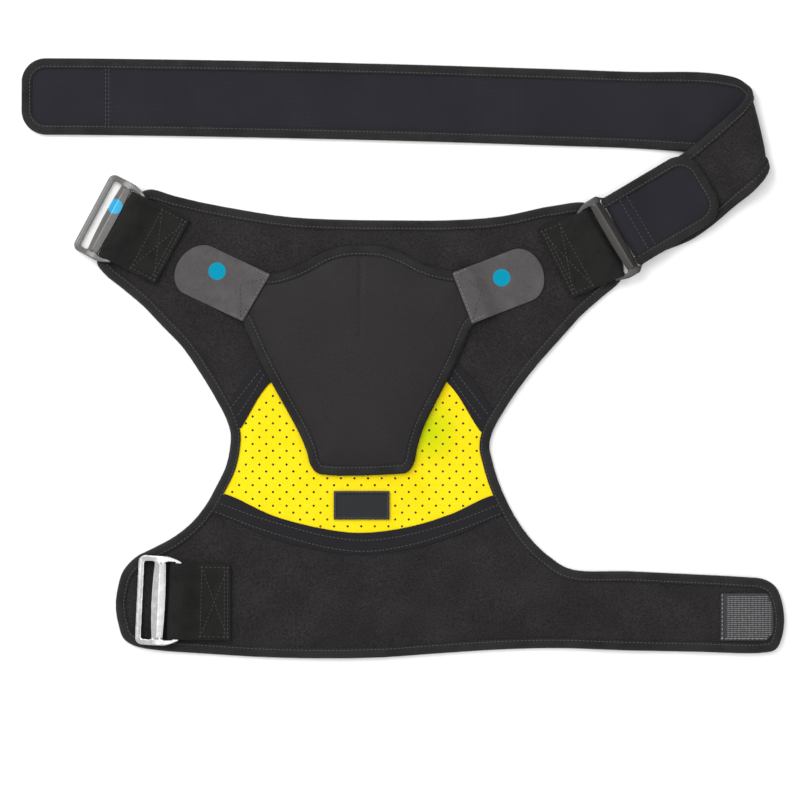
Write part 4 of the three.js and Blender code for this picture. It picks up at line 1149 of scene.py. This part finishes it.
def sewn_box(side):
    """Lines of the stitched box at the webbing's sewn end: two sides, two rows across and a cross."""
    place, made = PLACES[side], FRAMES[side]
    out = made["bar"] - made["end"]
    length = math.hypot(out[0], out[1])
    out = out[:2] / length
    edge = place["webbing"] / 2 - BOX_EDGE
    near, far = BOX_NEAR, place["box"]
    second = near + BOX_EDGE
    rows = [[(near, -edge), (far, -edge)], [(near, edge), (far, edge)], [(near, -edge), (near, edge)],
            [(second, -edge), (second, edge)], [(far, -edge), (far, edge)],
            [(near, -edge), (far, edge)], [(near, edge), (far, -edge)]]
    lines = []
    for row in rows:
        row = resample(np.array(row), 2 * MM, closed=False)
        turn = webbing_turn(made, row[:, 0] / length)
        across = np.column_stack([np.cos(turn), np.sin(turn)])
        lines.append(made["end"][:2] + row[:, :1] * out + row[:, 1:] * across)
    return lines


for side in PLACES:
    loop, length, top = webbing_piece(side)
    on_webbing = lying_at(top + STITCH_PROUD, lambda p: np.zeros(len(p)))
    box = stitch_row("webbing_stitches_" + side, sewn_box(side), on_webbing, "webbing_thread")

# Buckles: the solids with their edges rounded off


def rounded_copy(name, node):
    """The solid's shape as a fine mesh with soft edges."""
    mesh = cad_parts[node].data.copy()
    mesh.materials.clear()
    rough = add_object(name + "_rough", mesh)
    rough.modifiers.new("weld", "WELD").merge_threshold = WELD
    grid = rough.modifiers.new("grid", "REMESH")
    grid.mode = "VOXEL"
    grid.voxel_size = BUCKLE_VOXEL
    soft = rough.modifiers.new("soft", "SMOOTH")
    soft.iterations = BUCKLE_ROUNDS
    soft.factor = 0.5
    shape = bpy.data.meshes.new_from_object(rough.evaluated_get(bpy.context.evaluated_depsgraph_get()))
    bpy.data.objects.remove(rough)
    shape.name = name
    shape.shade_smooth()
    return add_object(name, shape)


BAR_SPOT = (photo_point(116, 207), 5.2 * MM, (0, 150, 196))
BUCKLE_VOXEL = 0.42 * MM
BUCKLE_ROUNDS = 7

# Colour, roughness, metal and printed spot. The three buckles are alike: their colours differ as painted
# light and shade, the lower one painted bright, the left one mid grey and the right one painted dark
BUCKLES = {
    "left": ((84, 82, 80), 0.3, 0.3, BAR_SPOT),
    "lower": ((188, 188, 189), 0.24, 0.92, None),
    "right": ((38, 36, 34), 0.45, 0.1, None),
}

# The middle bar: how far it swells in its middle, the height of its ridge and its fine cross ribs
BAR_REAR = 0.8 * MM
BAR_FRONT = 1.2 * MM
RIDGE = 0.9 * MM
RIDGE_FALL = 1.7 * MM
KNURL = 0.11 * MM
KNURL_PITCH = 1.7 * MM
ARM_SHARE = 0.35
ARM_TAPER = 11 * MM
SNUG = 0.6 * MM
SNUG_SHARE = 0.95
SNUG_START = 2 * MM
SNUG_REACH = 6 * MM


def shape_bars(piece, place, made, snug):
    """Gives the middle bar its ridge and cross ribs, and thins the arms towards their ends.

    snug is 1 where a strap fills the front slot and hides the arms beside it.
    """
    mesh = piece.data
    flat = np.empty(len(mesh.vertices) * 3)
    mesh.vertices.foreach_get("co", flat)
    p = flat.reshape(-1, 3) - made["bar"]
    c, s = math.cos(made["turn"]), math.sin(made["turn"])
    cd, sd = math.cos(made["dip"]), math.sin(made["dip"])
    x, across = p[:, 0] * c + p[:, 1] * s, p[:, 1] * c - p[:, 0] * s
    out, up = x * cd - p[:, 2] * sd, x * sd + p[:, 2] * cd
    half = place["slot"] / 2
    middle = END_BAR / 2 + REAR_SLOT + MID_BAR / 2
    d = out - middle
    in_bar = (np.abs(d) < MID_BAR / 2 + 1.5 * MM) * smooth_step((half - np.abs(across)) / (1.6 * MM))
    share = 1 - (across / half) ** 2
    reach = np.where(d > 0, BAR_FRONT, BAR_REAR) * np.clip(share, 0, 1)
    fall = np.clip(np.abs(d) / (MID_BAR / 2), 0, 1)
    centre = BUCKLE_BOW + BUCKLE_THICK / 2 - BAR_HEIGHT / 2
    top = smooth_step((up - centre) / (1 * MM)) * in_bar
    ribs = KNURL * np.cos(2 * math.pi * across / KNURL_PITCH) * (d > 0.4 * MM)
    up = up + top * (RIDGE - RIDGE_FALL * fall + ribs)
    out = out + in_bar * np.sign(d) * fall * reach
    rear = ARM_SHARE + (1 - ARM_SHARE) * smooth_step((out + END_BAR / 2) / ARM_TAPER)
    front = 1 - SNUG_SHARE * snug * smooth_step((out - middle - SNUG_START) / SNUG_REACH)
    excess = np.abs(across) - half
    slim = half + excess * rear * front
    slim = np.where(excess > 0, slim, np.abs(across))
    slim -= snug * SNUG * smooth_step((excess + 2.5 * MM) / (2.2 * MM))
    across = np.sign(across) * slim
    x, z = out * cd + up * sd, up * cd - out * sd
    p = np.column_stack([x * c - across * s, x * s + across * c, z]) + made["bar"]
    mesh.vertices.foreach_set("co", p.ravel())
    mesh.update()


for side, (colour, roughness, metallic, spot) in BUCKLES.items():
    piece = rounded_copy("buckle_body_" + side, "buckle_" + side)
    shape_bars(piece, PLACES[side], FRAMES[side], 1 if side == "right" else 0)
    finish_piece(piece, buckle_look("buckle_" + side, colour, roughness, metallic, spot),
                 ["buckle_" + side])

# Long strap, along the same line as the solids
STRAP_FRAME = FRAMES["right"]
FRONT_BAR = on_buckle(STRAP_FRAME, FRONT_REACH)
STRAP_OUT = np.array([math.cos(STRAP_FRAME["turn"]), math.sin(STRAP_FRAME["turn"]), 0])
STRAP_ACROSS = np.array([-STRAP_OUT[1], STRAP_OUT[0], 0])
STRAP_MIDDLE = STRAP_THICK / 2
BAR_TURN = FRONT_BAR[2] - STRAP_MIDDLE


def strap_height(point):
    out = (point - FRONT_BAR)[:2] @ STRAP_OUT[:2]
    return STRAP_MIDDLE + STRAP_RISE * max(0, out - LEVEL_REACH)


def strap_stations():
    """Both edges of the strap's middle layer, station by station."""
    half = STRAP_WIDTH / 2

    def at(x, y, z):
        return np.array([FRONT_BAR[0] + x * STRAP_WIDTH, FRONT_BAR[1] + y * STRAP_WIDTH, z])

    first = TURN_OVER[0]
    middle = (at(first[0], first[1], STRAP_MIDDLE) + at(first[3], first[4], STRAP_MIDDLE)) / 2
    stations = []
    for i in range(RUN_STEPS):
        share = 1 - i / RUN_STEPS
        fall = RUN_DROP * (1 - (1 - share) ** RUN_CURVE)
        centre = np.array([middle[0] - share * RUN_LENGTH, middle[1] + fall, STRAP_MIDDLE])
        stations.append((centre + [0, half, 0], centre - [0, half, 0]))
    for ix, iy, iz, ox, oy, oz in TURN_OVER:
        stations.append((at(ix, iy, iz * STRAP_WIDTH), at(ox, oy, oz * STRAP_WIDTH)))
    for ix, iy, ox, oy in DOWN_RUN:
        inner, outer = at(ix, iy, 0), at(ox, oy, 0)
        inner[2], outer[2] = strap_height(inner), strap_height(outer)
        stations.append((inner, outer))

    def level(out, height):
        centre = FRONT_BAR + out * STRAP_OUT
        centre[2] = height
        return centre + half * STRAP_ACROSS, centre - half * STRAP_ACROSS

    def above(out):
        return strap_height(FRONT_BAR + out * STRAP_OUT) + STRAP_THICK + CLEAR

    stations += [level(LEVEL_REACH, STRAP_MIDDLE), level(LEVEL_REACH / 2, STRAP_MIDDLE)]
    for swing in np.linspace(-math.pi / 2, math.pi / 2, 9):
        stations.append(level(-END_BAR * BAR_WRAP - BAR_TURN * math.cos(swing),
                              FRONT_BAR[2] + BAR_TURN * math.sin(swing)))
    bar_top = FRONT_BAR[2] + BAR_TURN
    settle = LEVEL_REACH * TAB_SETTLE
    for out, down in TAB_DESCENT:
        stations.append(level(LEVEL_REACH * out, bar_top + (above(settle) - bar_top) * down))
    for out in (settle, TAB_END * TAB_MIDDLE, TAB_END):
        stations.append(level(out, above(out)))
    return stations


STATION_STEPS = 12
station_rows = strap_stations()
INNER, OUTSIDE = (catmull_rom(np.array(edge), STATION_STEPS) for edge in zip(*station_rows))
for edge in (INNER, OUTSIDE):
    edge[:, 2] = np.maximum(edge[:, 2], STRAP_MIDDLE)
MIDLINE = (INNER + OUTSIDE) / 2
LENGTHS = np.concatenate([[0], np.cumsum(np.linalg.norm(np.diff(MIDLINE, axis=0), axis=1))])
STRAP_LENGTH = float(LENGTHS[-1])


def strap_normals(edge):
    ahead = np.vstack([edge[1:], edge[-1:]]) - np.vstack([edge[:1], edge[:-1]])
    across = INNER - OUTSIDE
    normal = np.cross(ahead, across)
    return normal / np.linalg.norm(normal, axis=1)[:, None]


INNER_UP = strap_normals(INNER)
OUTER_UP = strap_normals(OUTSIDE)
WAVE_END = 400 * MM
WAVE_FADE = 70 * MM
WAVE_HEIGHT = 1.5 * MM
WAVE_LIFT = 0.5

# Wave size, height and noise layer: the edges' waves, and the whole width's
EDGE_WAVE = (46 * MM, 1.0, 1.3)
WIDE_WAVE = (110 * MM, 0.8, 6.6)
MIDDLE_SHARE = 0.4


def along_strap(table, along):
    return np.stack([np.interp(along, LENGTHS, table[:, k]) for k in range(3)], -1)


def strap_wave(along, across):
    """The lying run's gentle waves, more at its edges than in its middle."""
    calm = 1 - smooth_step((along - WAVE_END) / WAVE_FADE)
    rows = np.column_stack([along.ravel(), across.ravel()])
    outward = np.abs(rows[:, 1]) / (STRAP_WIDTH / 2)
    wave = ripple(rows, *EDGE_WAVE) * (MIDDLE_SHARE + (1 - MIDDLE_SHARE) * outward)
    wave += ripple(rows, *WIDE_WAVE)
    return np.maximum(wave.reshape(along.shape) + WAVE_LIFT, 0) * WAVE_HEIGHT * calm


def strap_point(along, across, up):
    """Points of the strap: along it, across from its middle, and up through its thickness."""
    along, across, up = np.broadcast_arrays(along, across, up)
    share = (0.5 + across / STRAP_WIDTH)[..., None]
    base = along_strap(OUTSIDE, along) * (1 - share) + along_strap(INNER, along) * share
    normal = along_strap(OUTER_UP, along) * (1 - share) + along_strap(INNER_UP, along) * share
    normal /= np.linalg.norm(normal, axis=-1)[..., None]
    point = base + normal * up[..., None]
    point[..., 2] += strap_wave(np.asarray(along), np.asarray(across))
    return point


CORE_STEP = 2.4 * MM
CORE_COLUMNS = 25
CORE_SWELL = 0.85 * MM
CORE_REACH = 6 * MM
CORE_POWER = 1.4


def strap_core():
    """The strap's cloth: lining on one side and loop pile on the other."""
    drawn_in = TAPE + 2 * CLEAR
    radius = STRAP_TIP - drawn_in
    swings = np.linspace(0, math.pi / 2, 9)
    ends = [(STRAP_TIP - radius * math.cos(s), radius * (1 - math.sin(s))) for s in swings]
    body = np.arange(STRAP_TIP + CORE_STEP, STRAP_LENGTH - STRAP_TIP - CORE_STEP / 2, CORE_STEP)
    rows = [*ends, *[(a, 0) for a in body], *[(STRAP_LENGTH - a, less) for a, less in reversed(ends)]]
    along = np.array([r[0] for r in rows])[:, None]
    less = np.array([r[1] for r in rows])[:, None]
    half = STRAP_WIDTH / 2 - drawn_in
    columns = np.linspace(-1, 1, CORE_COLUMNS)[None, :]
    across = columns * (half - less)
    rim = np.minimum(STRAP_WIDTH / 2 - np.abs(across), np.minimum(along, STRAP_LENGTH - along))
    swell = CORE_SWELL * (1 - np.exp(-(np.clip(rim - LEG, 0, None) / CORE_REACH) ** CORE_POWER))
    up = STRAP_CORE / 2 + swell
    lower = strap_point(along, across, -up)
    upper = strap_point(along, across[:, ::-1], up[:, ::-1])
    sections = np.concatenate([lower, upper], 1)
    wide = np.broadcast_to(along, across.shape)
    uv = np.stack([np.concatenate([wide, wide], 1), np.concatenate([across, across[:, ::-1]], 1)], -1)
    count = sections.shape[1]
    looks = []
    for _ in range(len(sections) - 1):
        looks += [1 if k < count // 2 - 1 else 0 for k in range(count)]
    looks += [0, 0]
    piece = loft("strap_cloth", sections, uv, looks=looks)
    return finish_piece(piece, ["lining", "cloth"], ["long_strap"])


def strap_rim(pitch):
    """Places round the strap's edge: along, across, and the way in."""
    half = STRAP_WIDTH / 2
    far = STRAP_LENGTH - STRAP_TIP
    straight = np.arange(STRAP_TIP + pitch, far - pitch / 2, pitch)
    rim = [(a, half, 0, -1) for a in straight]
    for centre, sign in ((far, 1), (STRAP_TIP, -1)):
        if sign < 0:
            rim += [(a, -half, 0, 1) for a in straight[::-1]]
        for swing in np.linspace(sign * math.pi / 2, -sign * math.pi / 2, 27):
            out = sign * math.cos(swing), math.sin(swing)
            side = half - STRAP_TIP if swing > 0 else STRAP_TIP - half
            rim.append((centre + STRAP_TIP * out[0], side + STRAP_TIP * out[1], -out[0], -out[1]))
    return np.array(rim)


# The strap tape's skin in mm: how far in from the rim, and how far inside the flat leg's face
STRAP_SKIN = ((7, 0.25), (6.3, 0.05), (5.7, 0.3), (4.9, 0), (3, -0.1), (1.4, 0.15), (0.45, 0.8), (0, 1.7))


def strap_tape():
    """The tape folded round the strap's edge."""
    top = STRAP_THICK / 2
    fold = top - TAPE
    outer = [(into * MM, deep * MM - top) for into, deep in STRAP_SKIN]
    skin = outer + [(into, -up) for into, up in reversed(outer)]
    inner = [(LEG, fold), (TAPE * 1.3, fold), (TAPE * 1.3, -fold), (LEG, -fold)]
    profile = np.array(skin + inner)
    rim = strap_rim(2 * MM)
    along = rim[:, None, 0] + rim[:, None, 2] * profile[None, :, 0]
    across = rim[:, None, 1] + rim[:, None, 3] * profile[None, :, 0]
    sections = strap_point(along, across, np.broadcast_to(profile[None, :, 1], along.shape))
    steps = np.linalg.norm(np.diff(rim[:, :2], axis=0), axis=1)
    far = np.concatenate([[0], np.cumsum(steps)])
    around = np.concatenate([[0], np.cumsum(np.linalg.norm(np.diff(profile, axis=0), axis=1))])
    uv = np.stack(np.broadcast_arrays(far[:, None], around[None, :]), -1)
    piece = loft("strap_tape", sections[:, ::-1], uv[:, ::-1], closed=True)
    finish_piece(piece, "tape", ["strap_binding"])
    return piece, float(far[-1])


# Where the rows across lie along the strap
CROSS_ROWS = (59 * MM, 61.2 * MM, STRAP_LENGTH - 61 * MM, STRAP_LENGTH - 55.4 * MM)

# How far the strap's stitches lie from its middle layer, in the binding and in the rows across
RIM_STITCH = STRAP_THICK / 2 - 0.15 * MM
ROW_STITCH = STRAP_CORE / 2 + 0.75 * MM


def strap_stitches():
    """The binding's stitches, and the rows across that hold what is sewn behind."""
    rim = strap_rim(0.8 * MM)
    rows = [(resample(rim[:, :2] + rim[:, 2:] * STITCH_IN, STITCH_PITCH), True)]
    half = STRAP_WIDTH / 2 - LEG - 1 * MM
    for along in CROSS_ROWS:
        rows.append((resample(np.array([(along, -half), (along, half)]), STITCH_PITCH, False), False))
    centres, directions, ups = [], [], []
    for points, closed in rows:
        ahead, behind = neighbours(points, closed)
        depth = RIM_STITCH if closed else ROW_STITCH
        for side in (1, -1):
            here, above, front, rear = (
                strap_point(*line.T, side * up)
                for line, up in ((points, depth), (points, depth + MM), (ahead, depth), (behind, depth)))
            centres.append(here)
            directions.append(front - rear)
            ups.append(above - here)
    piece = threads("strap_stitches", np.vstack(centres), np.vstack(directions), np.vstack(ups),
                    STITCH_HALF, STITCH_RADIUS)
    return finish_piece(piece, "thread")


core = strap_core()
tape, rim_length = strap_tape()
sewing = strap_stitches()

# Floor, light and camera


def area_light(name, place, size, power):
    """A square light, aimed at the middle of the floor."""
    data = bpy.data.lights.new(name, "AREA")
    data.shape = "RECTANGLE"
    data.size = data.size_y = size
    data.energy = power
    lamp = add_object(name, data)
    lamp.location = place
    lamp.rotation_euler = (-Vector(place)).to_track_quat("-Z", "Y").to_euler()


def floor_material():
    look = Look("studio_floor", (250, 250, 250), 0.9, specular=0.1)
    look.tint(look.noise(0.4, 2), (247, 247, 247), 0.4, 0.7)
    return look.material


HALF_FLOOR = 6.0
# Just below the lowest waves of the cloth's underside
FLOOR_LEVEL = -0.15 * MM
floor_mesh = bpy.data.meshes.new("floor")
floor_corners = [(x * HALF_FLOOR, y * HALF_FLOOR, 0) for x, y in ((-1, -1), (1, -1), (1, 1), (-1, 1))]
floor_mesh.from_pydata(floor_corners, [], [(0, 1, 2, 3)])
floor_mesh.materials.append(floor_material())
floor = add_object("floor", floor_mesh)
floor.location.z = FLOOR_LEVEL

area_light("key", (-0.9, 0.9, 1.7), 1.3, 26)
area_light("fill", (1.2, -0.6, 1.5), 1.6, 10)
area_light("top", (0, 0.1, 2.4), 2.2, 20)

# The surroundings fade from the left to the right, so that the buckles' faces differ
WORLD_FADE = {"From Min": -0.8, "From Max": 0.8, "To Min": 0.9, "To Max": 0.2}
world = bpy.data.worlds.new("studio")
world.use_nodes = True
backdrop = world.node_tree.nodes["Background"]
backdrop.inputs["Color"].default_value = (1, 1, 1, 1)
direction, parts, fall = (world.node_tree.nodes.new("ShaderNode" + kind)
                          for kind in ("TexCoord", "SeparateXYZ", "MapRange"))
for end, value in WORLD_FADE.items():
    fall.inputs[end].default_value = value
for output, socket in ((direction.outputs["Generated"], parts.inputs[0]),
                       (parts.outputs["X"], fall.inputs["Value"]),
                       (fall.outputs[0], backdrop.inputs["Strength"])):
    world.node_tree.links.new(output, socket)
bpy.context.scene.world = world

LENS = 200
camera_data = bpy.data.cameras.new("camera")
camera_data.lens = LENS
camera_data.clip_end = 50
camera = add_object("camera", camera_data)
camera.location = (*VIEW_MIDDLE, VIEW_WIDTH * LENS / camera_data.sensor_width)
bpy.context.scene.camera = camera

bpy.context.scene.view_settings.view_transform = "Standard"
bpy.context.view_layer.update()
